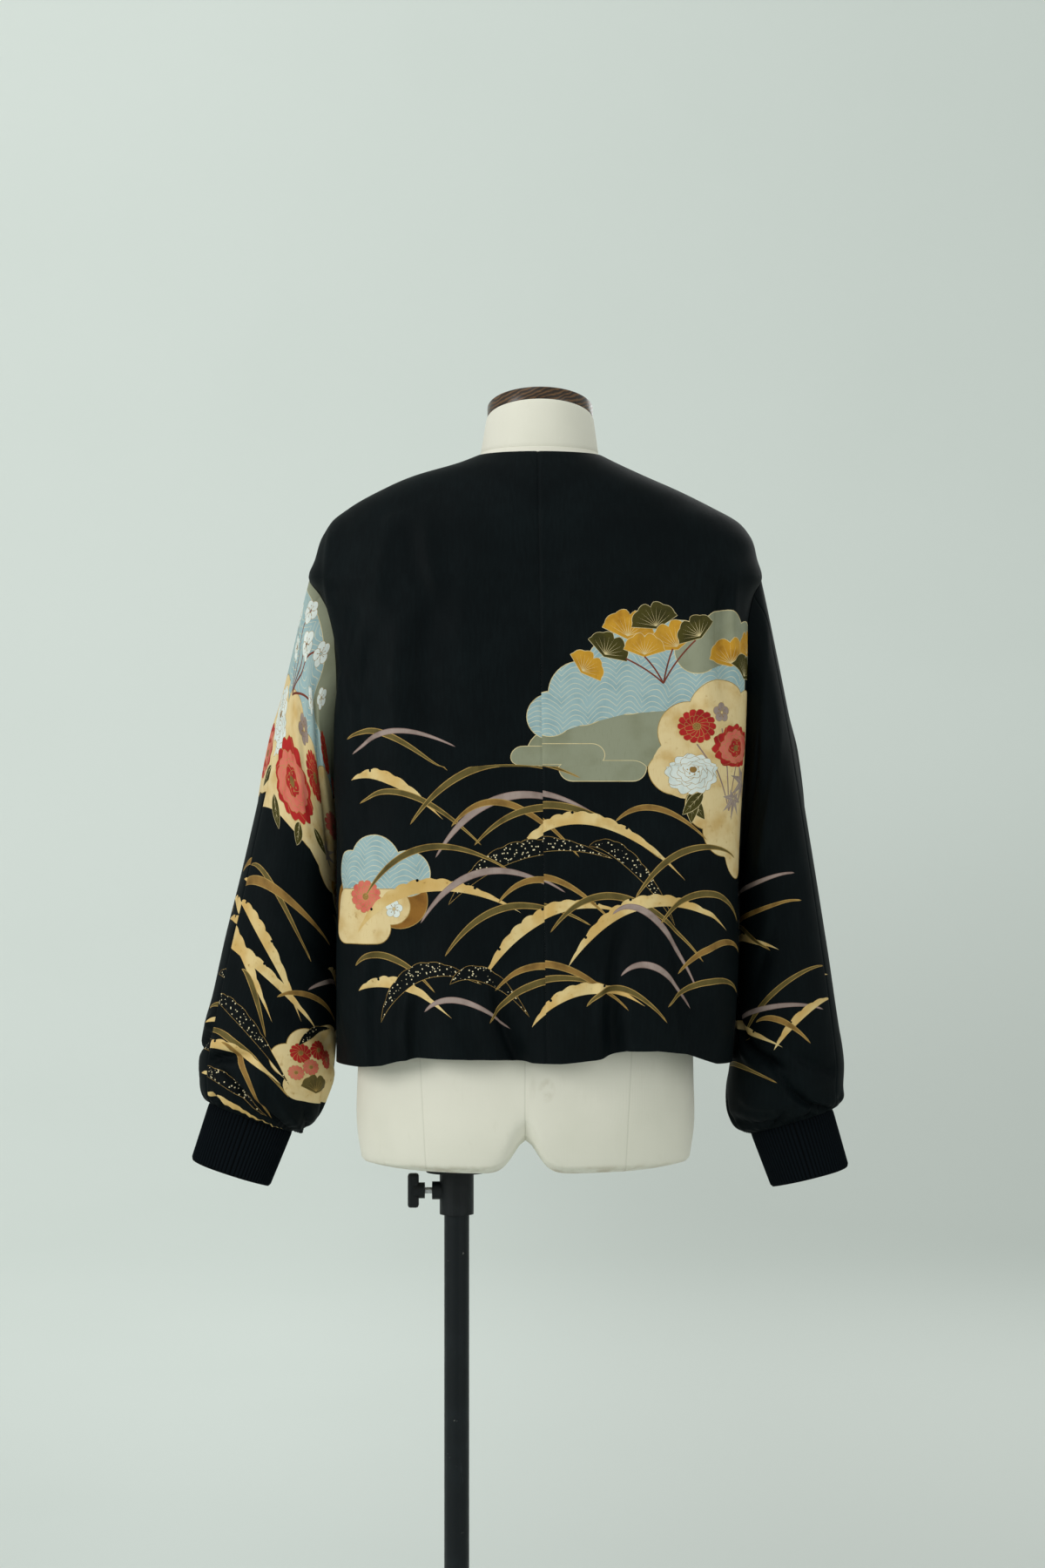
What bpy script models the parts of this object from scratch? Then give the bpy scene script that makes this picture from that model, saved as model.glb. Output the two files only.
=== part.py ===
"""Kimono jacket of black printed silk with rib-knit cuffs, on a limbless dress form.

Metres, +Z up. The origin is the centre of the stand's underside. The wearer's back
faces +Y and the wearer's left is +X. Every piece of cloth is a thin wall, and the
neck, hem, armholes, cuffs and centre front are open.
"""

import math
from collections import namedtuple

import bmesh
import bpy
import numpy as np

MM = 0.001

# Cloth walls and the gaps between sewn pieces
SILK_WALL = 1.5 * MM
CUFF_WALL = 1.7 * MM
RIB_HEIGHT = 0.7 * MM
SEAM_GAP = 0.3 * MM
ARMHOLE_GAP = 0.35 * MM
FRONT_OPENING = 4.0 * MM
SEAT_GAP = 0.35 * MM
FRONT_EASE = 4.0 * MM
SHARP_ANGLE = math.radians(40)

# The jacket's body by height: where its left and right sides lie, how far it reaches
# back and forward, how square its section is, and how far the front drops below the
# shoulder line. Millimetres, from the hem to the neckline.
Level = namedtuple("Level", "height left right back front square drop")
BODY_LEVELS = [
    Level(805.0, 187.5, 204.5, 136, 128, 2.7, 0),
    Level(860.0, 187.0, 208.5, 134, 126, 2.9, 0),
    Level(914.0, 186.5, 210.5, 131, 124, 3.1, 0),
    Level(988.0, 186.0, 209.5, 128, 121, 3.5, 0),
    Level(1067.0, 185.0, 212.0, 125, 119, 4.1, 0),
    Level(1100.0, 184.5, 214.0, 123, 118, 4.4, 0),
    Level(1160.0, 184.5, 216.5, 119, 117, 4.7, 0),
    Level(1210.0, 186.5, 218.0, 116, 115, 4.6, 0),
    Level(1250.0, 193.0, 220.5, 112, 113, 3.9, 0),
    Level(1270.0, 203.5, 226.0, 110, 112, 3.3, 0),
    Level(1287.0, 215.0, 234.5, 108, 110, 2.95, 0),
    Level(1305.0, 209.5, 230.5, 105, 108, 2.7, 6),
    Level(1330.0, 201.5, 223.0, 100.5, 105, 2.45, 17),
    Level(1344.0, 192.0, 211.0, 97, 102, 2.25, 25),
    Level(1357.5, 176.0, 187.0, 92, 99, 2.15, 33),
    Level(1374.0, 147.0, 154.0, 85, 94, 2.1, 43),
    Level(1389.5, 112.0, 119.0, 76, 88, 2.05, 53),
    Level(1403.0, 66.0, 90.0, 66, 79, 2.0, 61),
    Level(1409.5, 49.0, 77.0, 61, 74, 2.0, 65),
]
# The sides lean, so that the back reaches a little wider than the front
SIDE_LEAN = 0.035
# The front's drop is steepest near its centre
DROP_POWER = 3
CENTRE_SEAM_TOP_X = -12 * MM
CENTRE_SEAM_HEM_X = -20 * MM

# Folds that hang to the hem: where each meets the hem, where its upper end lies, how
# high it reaches, its half width and its height, a trough where that is negative.
Fold = namedtuple("Fold", "hem_x top_x reach width height")
BACK_FOLDS = [
    Fold(150, 156, 1060, 26, 12),
    Fold(106, 112, 960, 15, -10),
    Fold(66, 60, 1000, 30, 5),
    Fold(4, 34, 930, 15, -8),
    Fold(-40, -34, 980, 27, 9),
    Fold(-80, -76, 930, 15, -8),
    Fold(-122, -128, 980, 26, 4),
    Fold(-176, -170, 1080, 24, 6),
]
FRONT_FOLDS = [
    Fold(156, 150, 1060, 24, 7),
    Fold(112, 118, 960, 17, -7),
    Fold(70, 62, 1010, 26, 8),
    Fold(-62, -56, 1000, 24, 7),
    Fold(-106, -112, 950, 17, -8),
    Fold(-158, -150, 1080, 26, 8),
]

# A fold grows towards the hem, and dies out only close to the side
FOLD_GROWTH = 1.2
FOLD_SIDE_POWER = 0.3

# How far the hem lies above or below its level, by distance across
HemPoint = namedtuple("HemPoint", "x rise")
HEM_RISE_TOP = 1040
HEM_RISE_POWER = 2
BACK_HEM = [
    HemPoint(-206, 4), HemPoint(-186, 6), HemPoint(-158, 17), HemPoint(-128, 21),
    HemPoint(-96, 21), HemPoint(-79, 17), HemPoint(-66, 13), HemPoint(-34, 10),
    HemPoint(-4, 10), HemPoint(12, 13), HemPoint(104, 14), HemPoint(116, 12),
    HemPoint(140, 6), HemPoint(160, 4), HemPoint(178, 4), HemPoint(190, 4),
]
FRONT_HEM = [
    HemPoint(-206, 3), HemPoint(-158, -3), HemPoint(-108, 4), HemPoint(-62, -2),
    HemPoint(-20, 2), HemPoint(70, -2), HemPoint(112, 4), HemPoint(156, -2),
    HemPoint(190, 4),
]

# The armhole is an oval on the body's side
ARMHOLE_TOP = 1287 * MM
ARMHOLE_BOTTOM = 1100 * MM
ARMHOLE_HALF_DEPTH = 58 * MM

# Grid sizes
BACK_COLUMNS = 16
FRONT_COLUMNS = 12
ARMHOLE_STEPS = 10
SLEEVE_COLUMNS = 4 * ARMHOLE_STEPS
OVER_ARM_COLUMN = 4
HEM_ROWS = [805, 835, 870, 915, 970, 1035]
SHOULDER_ROWS = [1316, 1344, 1366, 1388, 1409.5]
SECTION_SAMPLES = 160

# The sleeves by ring: the outer and the inner end of each ring, half its depth, and
# how far its middle lies forward. Millimetres, from the armhole to the cuff.
SleeveRing = namedtuple("SleeveRing", "outer_x outer_z inner_x inner_z depth forward gather")
LEFT_SLEEVE = [
    SleeveRing(215.0, 1287, 184.5, 1100.0, 58, 0, 0),
    SleeveRing(221.5, 1262, 188.0, 1088.0, 64, 0, 0),
    SleeveRing(229.5, 1226, 188.5, 1075.0, 69, 2, 0),
    SleeveRing(238.5, 1188, 188.5, 1058.0, 72, 5, 0),
    SleeveRing(249.5, 1142, 188.5, 1036.0, 73, 8, 0),
    SleeveRing(261.0, 1094, 188.5, 1008.0, 72, 10, 0),
    SleeveRing(273.0, 1042, 188.8, 972.0, 71, 12, 0),
    SleeveRing(286.0, 987, 189.0, 932.0, 70, 12, 0),
    SleeveRing(299.0, 936, 189.5, 890.0, 68, 12, 0),
    SleeveRing(311.0, 888, 190.0, 848.0, 66, 12, 0),
    SleeveRing(321.0, 845, 191.0, 808.0, 63, 12, 0.4),
    SleeveRing(327.0, 808, 196.0, 776.0, 59, 11, 1.0),
    SleeveRing(327.0, 786, 207.0, 750.0, 51, 10, 2.2),
    SleeveRing(323.5, 772.5, 221.0, 738.5, 39, 8, 2.6),
    SleeveRing(316.5, 765.0, 233.2, 735.9, 23, 8, 1.2),
]
RIGHT_SLEEVE = [
    SleeveRing(234.5, 1287, 214.0, 1100.0, 58, 0, 0),
    SleeveRing(240.5, 1260, 217.0, 1088.0, 64, 0, 0),
    SleeveRing(247.5, 1226, 216.5, 1075.0, 69, 2, 0),
    SleeveRing(255.5, 1188, 215.7, 1058.0, 72, 5, 0),
    SleeveRing(264.5, 1142, 214.5, 1036.0, 74, 8, 0),
    SleeveRing(273.0, 1095, 213.0, 1008.0, 74, 10, 0),
    SleeveRing(281.5, 1045, 212.5, 972.0, 73, 12, 0),
    SleeveRing(290.5, 990, 213.0, 932.0, 72, 12, 0),
    SleeveRing(299.0, 937, 213.2, 890.0, 70, 12, 0),
    SleeveRing(306.5, 890, 211.8, 850.0, 68, 12, 0),
    SleeveRing(313.0, 848, 209.0, 814.0, 65, 12, 0.4),
    SleeveRing(318.5, 808, 202.0, 783.0, 61, 11, 1.0),
    SleeveRing(318.0, 783, 201.5, 755.0, 53, 10, 2.2),
    SleeveRing(314.5, 767.5, 211.5, 739.0, 40, 8, 2.6),
    SleeveRing(307.5, 758.4, 225.3, 734.4, 23, 8, 1.2),
]
SLEEVE_SQUARE = 2.25
GATHERS = 10
# Gathers differ in height by this share, in a slow wave round the sleeve
GATHER_SPREAD = 0.25
GATHER_DRIFT = 1.9

# The cuffs: the two ends of the top edge and of the bottom edge, across the front view
Cuff = namedtuple("Cuff", "top_outer top_inner bottom_outer bottom_inner")
LEFT_CUFF = Cuff((316.5, 764.6), (233.2, 735.5), (334.5, 708.0), (256.0, 680.0))
RIGHT_CUFF = Cuff((307.5, 758.0), (225.3, 734.0), (323.5, 701.0), (246.0, 679.5))
CUFF_HALF_DEPTH_TOP = 22 * MM
CUFF_HALF_DEPTH_BOTTOM = 21 * MM
CUFF_FORWARD = 8 * MM
RIBS = 72
CUFF_ROWS = [0.0, 0.55, 1.0]

# The dress form's body by height, inside the jacket
TorsoLevel = namedtuple("TorsoLevel", "height left right back front square")
TORSO_LEVELS = [
    TorsoLevel(713, 158.0, 158.0, 97, 90, 2.5),
    TorsoLevel(740, 166.0, 166.0, 108, 98, 2.4),
    TorsoLevel(790, 167.5, 167.5, 114, 104, 2.35),
    TorsoLevel(850, 163.0, 165.0, 110, 102, 2.3),
    TorsoLevel(910, 152.0, 156.0, 101, 99, 2.3),
    TorsoLevel(970, 145.0, 151.0, 96, 97, 2.3),
    TorsoLevel(1040, 148.0, 157.0, 100, 102, 2.35),
    TorsoLevel(1120, 160.0, 173.0, 107, 109, 2.4),
    TorsoLevel(1190, 171.0, 188.0, 108, 110, 2.45),
    TorsoLevel(1250, 181.0, 201.0, 104, 106, 2.4),
    TorsoLevel(1296, 188.0, 211.0, 99, 101, 2.35),
]
TORSO_BOTTOM = 700 * MM
TORSO_EDGE_RISE = 6.5 * MM
TORSO_EDGE_POWER = 8
LEG_NOTCH_HEIGHT = 33 * MM
LEG_NOTCH_HALF_WIDTH = 22 * MM
LEG_NOTCH_POWER = 1.6
BOTTOM_RINGS = [0.94, 0.82, 0.55, 0.25]
NECK_CENTRE_X = -14.5 * MM
NECK_TOP_CENTRE_Z = 1444.5 * MM
NECK_TOP_RADIUS = 55.5 * MM
NECK_TILT = math.radians(17.5)
NECK_RINGS = [0.12, 0.55, 1.0]
NECK_EASE = 3.0 * MM
CAP_RADIUS = 52.3 * MM
CAP_THICKNESS = 12 * MM
CAP_BEVEL = 2.5 * MM

# Stand
BASE_RADIUS = 165 * MM
BASE_THICKNESS = 8 * MM
BASE_BEVEL = 2 * MM
POLE_X = 68.7 * MM
POLE_RADIUS = 12.5 * MM
POLE_TOP = 950 * MM
BORE_RADIUS = 13.6 * MM
BORE_TOP = 1060 * MM
PLATE_RADIUS = 30.5 * MM
PLATE_THICKNESS = 3.8 * MM
COLLAR_RADIUS = 17 * MM
COLLAR_BORE_RADIUS = 12.9 * MM
COLLAR_BOTTOM = 654 * MM
CLAMP_Z = 677.4 * MM
BOSS_RADIUS = 9 * MM
BOSS_REACH = 24.5 * MM
BOLT_RADIUS = 3.2 * MM
BOLT_HOLE_RADIUS = 3.6 * MM
BOLT_END = 31.5 * MM
HUB_RADIUS = 8 * MM
HUB_LENGTH = 6 * MM
WING_LENGTH = 34 * MM
WING_THICKNESS = 11 * MM
WING_DEPTH = 12 * MM
WING_BEVEL = 2.5 * MM
ROUND_SIDES = 32
TOOL_OVERSHOOT = 10 * MM


def smooth_value(rows, column, height):
    """A table's column at any height, by cubic pieces through its rows."""
    heights = [row.height for row in rows]
    values = [getattr(row, column) for row in rows]
    slopes = np.gradient(values, heights)
    i = int(np.clip(np.searchsorted(heights, height) - 1, 0, len(rows) - 2))
    step = heights[i + 1] - heights[i]
    t = (height - heights[i]) / step
    start = (1 + 2 * t) * (1 - t) ** 2 * values[i] + t * (1 - t) ** 2 * step * slopes[i]
    end = t * t * (3 - 2 * t) * values[i + 1] + t * t * (t - 1) * step * slopes[i + 1]
    return start + end


def body_size(column, z):
    """One of the body's sizes at a height, both in metres."""
    return smooth_value(BODY_LEVELS, column, z / MM) * MM


def centre_seam_x(z):
    """Where the centre seam lies, which leans a little from the neck to the hem."""
    low, high = BODY_LEVELS[0].height * MM, BODY_LEVELS[-1].height * MM
    share = (z - low) / (high - low)
    return CENTRE_SEAM_HEM_X + (CENTRE_SEAM_TOP_X - CENTRE_SEAM_HEM_X) * share


def side_reach(side, z):
    """How far the body's side lies from the centre seam at a height."""
    column = "left" if side > 0 else "right"
    return body_size(column, z) - side * centre_seam_x(z)


def hem_rise(face, x, z):
    """How much a point is raised to follow the uneven hem."""
    points = BACK_HEM if face > 0 else FRONT_HEM
    rise = np.interp(x / MM, [p.x for p in points], [p.rise for p in points]) * MM
    low = BODY_LEVELS[0].height
    share = np.clip((HEM_RISE_TOP - z / MM) / (HEM_RISE_TOP - low), 0, 1)
    return rise * share**HEM_RISE_POWER


def fold_height(face, x, z):
    """How far the hanging folds push the cloth out at a point."""
    low = BODY_LEVELS[0].height
    height = np.zeros_like(x)
    for fold in BACK_FOLDS if face > 0 else FRONT_FOLDS:
        if z / MM >= fold.reach:
            continue
        share = (fold.reach - z / MM) / (fold.reach - low)
        middle = fold.top_x + (fold.hem_x - fold.top_x) * share
        height += fold.height * share**FOLD_GROWTH * np.exp(-(((x / MM - middle) / fold.width) ** 2))
    return height * MM


def body_line(side, face, z):
    """The body's outer line at one height, from the centre seam to the side."""
    angle = np.linspace(0, math.pi / 2, SECTION_SAMPLES)
    square = body_size("square", z) / MM
    depth = body_size("back" if face > 0 else "front", z)
    across = np.sin(angle) ** (2 / square)
    along = np.clip(np.cos(angle), 0, 1) ** (2 / square)
    x = centre_seam_x(z) + side * side_reach(side, z) * across
    y = face * depth * along
    out = fold_height(face, x, z) * np.cos(angle) ** FOLD_SIDE_POWER
    y = y + face * out
    x = x + side * SIDE_LEAN * y * across
    drop = body_size("drop", z) if face < 0 else 0
    height = z - drop * np.cos(angle) ** DROP_POWER + hem_rise(face, x, z)
    return np.stack([x, y, height], axis=1)


def body_side_x(side, face, y, z):
    """Where the body's surface lies at a depth and height near the armhole."""
    square = body_size("square", z) / MM
    depth = body_size("back" if face > 0 else "front", z)
    inside = max(0.0, 1 - (abs(y) / depth) ** square)
    across = inside ** (1 / square)
    lean = SIDE_LEAN * face * abs(y)
    return centre_seam_x(z) + side * (side_reach(side, z) + lean) * across


def even_points(line, columns, start_trim, end_trim):
    """Points at even steps along a line, with its two ends cut back."""
    lengths = np.linalg.norm(np.diff(line, axis=0), axis=1)
    reach = np.concatenate([[0], np.cumsum(lengths)])
    stops = np.linspace(start_trim, reach[-1] - end_trim, columns + 1)
    return np.stack([np.interp(stops, reach, line[:, k]) for k in range(3)], axis=1)


def armhole_angles():
    return [math.pi * i / ARMHOLE_STEPS for i in range(ARMHOLE_STEPS + 1)]


def armhole_oval(angle, margin):
    """Depth and height of a point on the armhole, grown by a margin."""
    middle = (ARMHOLE_TOP + ARMHOLE_BOTTOM) / 2
    half = (ARMHOLE_TOP - ARMHOLE_BOTTOM) / 2
    depth = (ARMHOLE_HALF_DEPTH + margin) * math.sin(angle)
    return depth, middle + (half + margin) * math.cos(angle)


def body_rows():
    """The heights of a panel's rows with the armhole's half depth at each."""
    rows = [(height * MM, 0.0) for height in HEM_ROWS]
    for angle in reversed(armhole_angles()):
        depth, z = armhole_oval(angle, ARMHOLE_GAP)
        rows.append((z, abs(depth)))
    rows += [(height * MM, 0.0) for height in SHOULDER_ROWS]
    return rows


def panel_grid(side, face, columns):
    """A front or back half as a grid of outer points, hem to shoulder."""
    centre_trim = SEAM_GAP / 2 if face > 0 else FRONT_OPENING / 2
    grid = []
    for z, cut_depth in body_rows():
        line = body_line(side, face, z)
        if cut_depth > SEAM_GAP:
            keep = np.abs(line[:, 1]) > cut_depth
            edge_x = body_side_x(side, face, cut_depth, z)
            edge = np.array([[edge_x, face * cut_depth, z]])
            line = np.concatenate([line[keep], edge])
            grid.append(even_points(line, columns, centre_trim, 0))
        else:
            grid.append(even_points(line, columns, centre_trim, SEAM_GAP / 2))
    return np.array(grid)


def grid_normals(grid, wrap=False):
    """Unit normals of a grid of points, from its neighbours both ways."""
    if wrap:
        along = np.roll(grid, -1, axis=1) - np.roll(grid, 1, axis=1)
    else:
        along = np.gradient(grid, axis=1)
    up = np.gradient(grid, axis=0)
    normal = np.cross(along, up)
    return normal / np.linalg.norm(normal, axis=2, keepdims=True)


def panel_normals(side, face, grid):
    """Outward normals of a panel, square to the seams that it shares."""
    normal = grid_normals(grid) * (-side * face)
    normal[:, 0, 0] = 0
    for i, (_, cut_depth) in enumerate(body_rows()):
        if cut_depth <= SEAM_GAP:
            normal[i, -1, 1] = 0
    return normal / np.linalg.norm(normal, axis=2, keepdims=True)


def add_mesh(name, points, faces, material):
    """A new object from points and faces, with its faces turned outwards."""
    mesh = bpy.data.meshes.new(name)
    mesh.from_pydata([tuple(p) for p in points], [], faces)
    shell = bmesh.new()
    shell.from_mesh(mesh)
    bmesh.ops.recalc_face_normals(shell, faces=shell.faces)
    shell.to_mesh(mesh)
    shell.free()
    mesh.shade_smooth()
    mesh.set_sharp_from_angle(angle=SHARP_ANGLE)
    mesh.materials.append(material)
    thing = bpy.data.objects.new(name, mesh)
    bpy.context.scene.collection.objects.link(thing)
    return thing


def wall(name, outer, inner, material, wrap=False):
    """A closed wall between an outer and an inner grid of points."""
    rows, columns = outer.shape[:2]
    points = np.concatenate([outer.reshape(-1, 3), inner.reshape(-1, 3)])
    last = columns if wrap else columns - 1
    faces = []

    def at(layer, row, column):
        return layer * rows * columns + row * columns + column % columns

    for row in range(rows - 1):
        for column in range(last):
            corners = [(row, column), (row, column + 1), (row + 1, column + 1), (row + 1, column)]
            faces.append([at(0, r, c) for r, c in corners])
            faces.append([at(1, r, c) for r, c in reversed(corners)])
    for column in range(last):
        for row in (0, rows - 1):
            faces.append([at(0, row, column), at(1, row, column),
                          at(1, row, column + 1), at(0, row, column + 1)])
    if not wrap:
        for row in range(rows - 1):
            for column in (0, columns - 1):
                faces.append([at(0, row, column), at(0, row + 1, column),
                              at(1, row + 1, column), at(1, row, column)])
    return add_mesh(name, points, faces, material)


def make_body(side, silk):
    """The back half and the front half on one side."""
    hand = "left" if side > 0 else "right"
    for face, word, columns in ((1, "back", BACK_COLUMNS), (-1, "front", FRONT_COLUMNS)):
        outer = panel_grid(side, face, columns)
        inner = outer - panel_normals(side, face, outer) * SILK_WALL
        wall(f"{word}_{hand}", outer, inner, silk)


def armhole_ring(side):
    """The sleeve's first ring, just outside the body's surface along the armhole."""
    step = 1 * MM
    ring = np.zeros((SLEEVE_COLUMNS, 3))
    for i in range(0, SLEEVE_COLUMNS, 2):
        angle = 2 * math.pi * i / SLEEVE_COLUMNS
        depth, z = armhole_oval(angle, 0)
        face = 1 if depth >= 0 else -1
        x = body_side_x(side, face, depth, z)
        by_depth = (body_side_x(side, face, abs(depth) + step, z) - x) / step * face
        by_height = (body_side_x(side, face, depth, z + step) - x) / step
        out = np.array([1, -by_depth, -by_height]) * side
        out = out / np.linalg.norm(out)
        ring[i] = np.array([x, depth, z]) + out * ARMHOLE_GAP
    for i in range(1, SLEEVE_COLUMNS, 2):
        ring[i] = (ring[i - 1] + ring[(i + 1) % SLEEVE_COLUMNS]) / 2
    return ring


def oval(angle, square):
    """The two sides of a rounded oval at an angle."""
    c, s = math.cos(angle), math.sin(angle)
    power = 2 / square
    return math.copysign(abs(c) ** power, c), math.copysign(abs(s) ** power, s)


def gather_wave(column, size):
    """How far a gather pushes the sleeve out, uneven from one to the next."""
    phase = 2 * math.pi * GATHERS * column / SLEEVE_COLUMNS
    uneven = 1 - GATHER_SPREAD + GATHER_SPREAD * math.sin(GATHER_DRIFT * column)
    return size * MM * math.cos(phase) * uneven


def sleeve_grid(side, rings):
    """A whole sleeve as rings of outer points, from the armhole to the cuff."""
    grid = [armhole_ring(side)]
    for ring in rings[1:]:
        outer = np.array([side * ring.outer_x, -ring.forward, ring.outer_z]) * MM
        inner = np.array([side * ring.inner_x, -ring.forward, ring.inner_z]) * MM
        middle, half = (outer + inner) / 2, (outer - inner) / 2
        across = half / np.linalg.norm(half)
        points = []
        for column in range(SLEEVE_COLUMNS):
            angle = 2 * math.pi * column / SLEEVE_COLUMNS
            c, s = oval(angle, SLEEVE_SQUARE)
            wave = gather_wave(column, ring.gather)
            reach = np.linalg.norm(half) + wave
            depth = ring.depth * MM + wave
            points.append(middle + across * reach * c + np.array([0, depth * s, 0]))
        grid.append(np.array(points))
    return np.array(grid)


def make_sleeve(side, rings, silk):
    """The back half and the front half of a sleeve."""
    hand = "left" if side > 0 else "right"
    grid = sleeve_grid(side, rings)
    normal = grid_normals(grid, wrap=True) * -side
    inner = grid - normal * SILK_WALL
    half = SLEEVE_COLUMNS // 2
    back = list(range(OVER_ARM_COLUMN, half + 1))
    front = list(range(half, SLEEVE_COLUMNS + OVER_ARM_COLUMN + 1))
    for word, columns in (("back", back), ("front", front)):
        picked = [c % SLEEVE_COLUMNS for c in columns]
        outer_half = apart_at_ends(grid[:, picked])
        inner_half = apart_at_ends(inner[:, picked])
        wall(f"sleeve_{word}_{hand}", outer_half, inner_half, silk)


def apart_at_ends(grid):
    """A grid with its first and last columns drawn in by half a seam gap."""
    out = grid.copy()
    for end, beside in ((0, 1), (-1, -2)):
        step = grid[:, beside] - grid[:, end]
        length = np.linalg.norm(step, axis=1, keepdims=True)
        out[:, end] = grid[:, end] + step / length * SEAM_GAP / 2
    return out


def make_cuff(side, cuff, knit):
    """A tube of rib knit, its ribs raised outside over a plain inside."""
    hand = "left" if side > 0 else "right"

    def place(pair):
        return np.array([side * pair[0], 0, pair[1]]) * MM + np.array([0, -CUFF_FORWARD, 0])

    outer, inner = [], []
    points = 2 * RIBS
    for share in CUFF_ROWS:
        far = place(cuff.top_outer) * (1 - share) + place(cuff.bottom_outer) * share
        near = place(cuff.top_inner) * (1 - share) + place(cuff.bottom_inner) * share
        middle, half = (far + near) / 2, (far - near) / 2
        across = half / np.linalg.norm(half)
        depth = CUFF_HALF_DEPTH_TOP * (1 - share) + CUFF_HALF_DEPTH_BOTTOM * share
        outer_row, inner_row = [], []
        for i in range(points):
            c, s = oval(2 * math.pi * i / points, SLEEVE_SQUARE)
            grow = 0.0 if i % 2 else -RIB_HEIGHT
            reach = np.linalg.norm(half)
            outer_row.append(middle + across * (reach + grow) * c
                             + np.array([0, (depth + grow) * s, 0]))
            shrink = CUFF_WALL + RIB_HEIGHT
            inner_row.append(middle + across * (reach - shrink) * c
                             + np.array([0, (depth - shrink) * s, 0]))
        outer.append(outer_row)
        inner.append(inner_row)
    wall(f"cuff_{hand}", np.array(outer), np.array(inner), knit, wrap=True)


def torso_ring(level):
    """One section of the dress form's body, from the centre back round by the left."""
    ring = []
    count = (BACK_COLUMNS + FRONT_COLUMNS) // 2
    centre = (level.left - level.right) / 2 * MM
    half = (level.left + level.right) / 2 * MM
    for i in range(2 * count):
        side = 1 if i <= count else -1
        step = i if i <= count else 2 * count - i
        back_steps = BACK_COLUMNS // 2
        if step <= back_steps:
            angle = math.pi / 2 * step / back_steps
        else:
            angle = math.pi / 2 * (1 + (step - back_steps) / (count - back_steps))
        s, c = oval(math.pi / 2 - angle, level.square)[0], oval(angle, level.square)[0]
        depth = level.back if c > 0 else level.front
        ring.append([centre + side * half * abs(s), depth * MM * c, level.height * MM])
    return np.array(ring)


def shoulder_rings():
    """The dress form's shoulders, a seat gap inside the jacket's wall."""
    first = len(HEM_ROWS) + ARMHOLE_STEPS + 2
    halves = {}
    for side in (1, -1):
        strips = []
        for face, columns in ((1, BACK_COLUMNS), (-1, FRONT_COLUMNS)):
            grid = panel_grid(side, face, columns)
            normal = panel_normals(side, face, grid)
            seat = grid - normal * (SILK_WALL + SEAT_GAP)
            if face < 0:
                seat[:, :, 1] += np.linspace(FRONT_EASE, 0, columns + 1)
            strips.append(seat[first:, ::2])
        halves[side] = np.concatenate([strips[0], strips[1][:, ::-1][:, 1:]], axis=1)
    left, right = halves[1], halves[-1]
    left[:, 0] = (left[:, 0] + right[:, 0]) / 2
    left[:, -1] = (left[:, -1] + right[:, -1]) / 2
    return np.concatenate([left, right[:, ::-1][:, 1:-1]], axis=1)


def neck_rings(base):
    """Rings from the neckline up to the slanted top of the neck."""
    middle = base.mean(axis=0)
    top = []
    for point in base:
        angle = math.atan2(point[0] - NECK_CENTRE_X, point[1])
        x = NECK_CENTRE_X + NECK_TOP_RADIUS * math.sin(angle)
        y = NECK_TOP_RADIUS * math.cos(angle)
        top.append([x, y * math.cos(NECK_TILT), NECK_TOP_CENTRE_Z + y * math.sin(NECK_TILT)])
    top = np.array(top)
    rings = []
    for share in NECK_RINGS:
        toward = middle - base
        toward[:, 2] = 0
        toward /= np.linalg.norm(toward, axis=1, keepdims=True)
        eased = base + toward * NECK_EASE
        rings.append(eased * (1 - share) + top * share)
    return rings


def bottom_height(x):
    """The underside of the dress form, with the start of two legs."""
    off_centre = abs(x / LEG_NOTCH_HALF_WIDTH)
    return TORSO_BOTTOM + LEG_NOTCH_HEIGHT * math.exp(-(off_centre**LEG_NOTCH_POWER))


def make_torso(linen):
    """A general body without arms, smooth and whole, with a bore for the pole."""
    edge = torso_ring(TORSO_LEVELS[0])
    rings = []
    for share in reversed(BOTTOM_RINGS):
        ring = edge * [share, share, 1]
        rise = TORSO_EDGE_RISE * share**TORSO_EDGE_POWER
        ring[:, 2] = [bottom_height(p[0]) + rise for p in ring]
        rings.append(ring)
    edge[:, 2] = [max(p[2], bottom_height(p[0]) + TORSO_EDGE_RISE) for p in edge]
    rings.append(edge)
    rings += [torso_ring(level) for level in TORSO_LEVELS[1:]]
    shoulders = shoulder_rings()
    rings += list(shoulders)
    rings += neck_rings(shoulders[-1])
    grid = np.array(rings)
    rows, columns = grid.shape[:2]
    points = list(grid.reshape(-1, 3))
    faces = []
    for row in range(rows - 1):
        for column in range(columns):
            beside = (column + 1) % columns
            faces.append([row * columns + column, row * columns + beside,
                          (row + 1) * columns + beside, (row + 1) * columns + column])
    faces.append([(rows - 1) * columns + column for column in range(columns)])
    points.append(np.array([0, 0, bottom_height(0)]))
    for column in range(columns):
        faces.append([(column + 1) % columns, column, len(points) - 1])
    torso = add_mesh("form_torso", points, faces, linen)
    low = TORSO_BOTTOM - TOOL_OVERSHOOT
    bore = add_cylinder("pole_bore", BORE_RADIUS, low, BORE_TOP, (POLE_X, 0), linen)
    cut(torso, bore)


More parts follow.
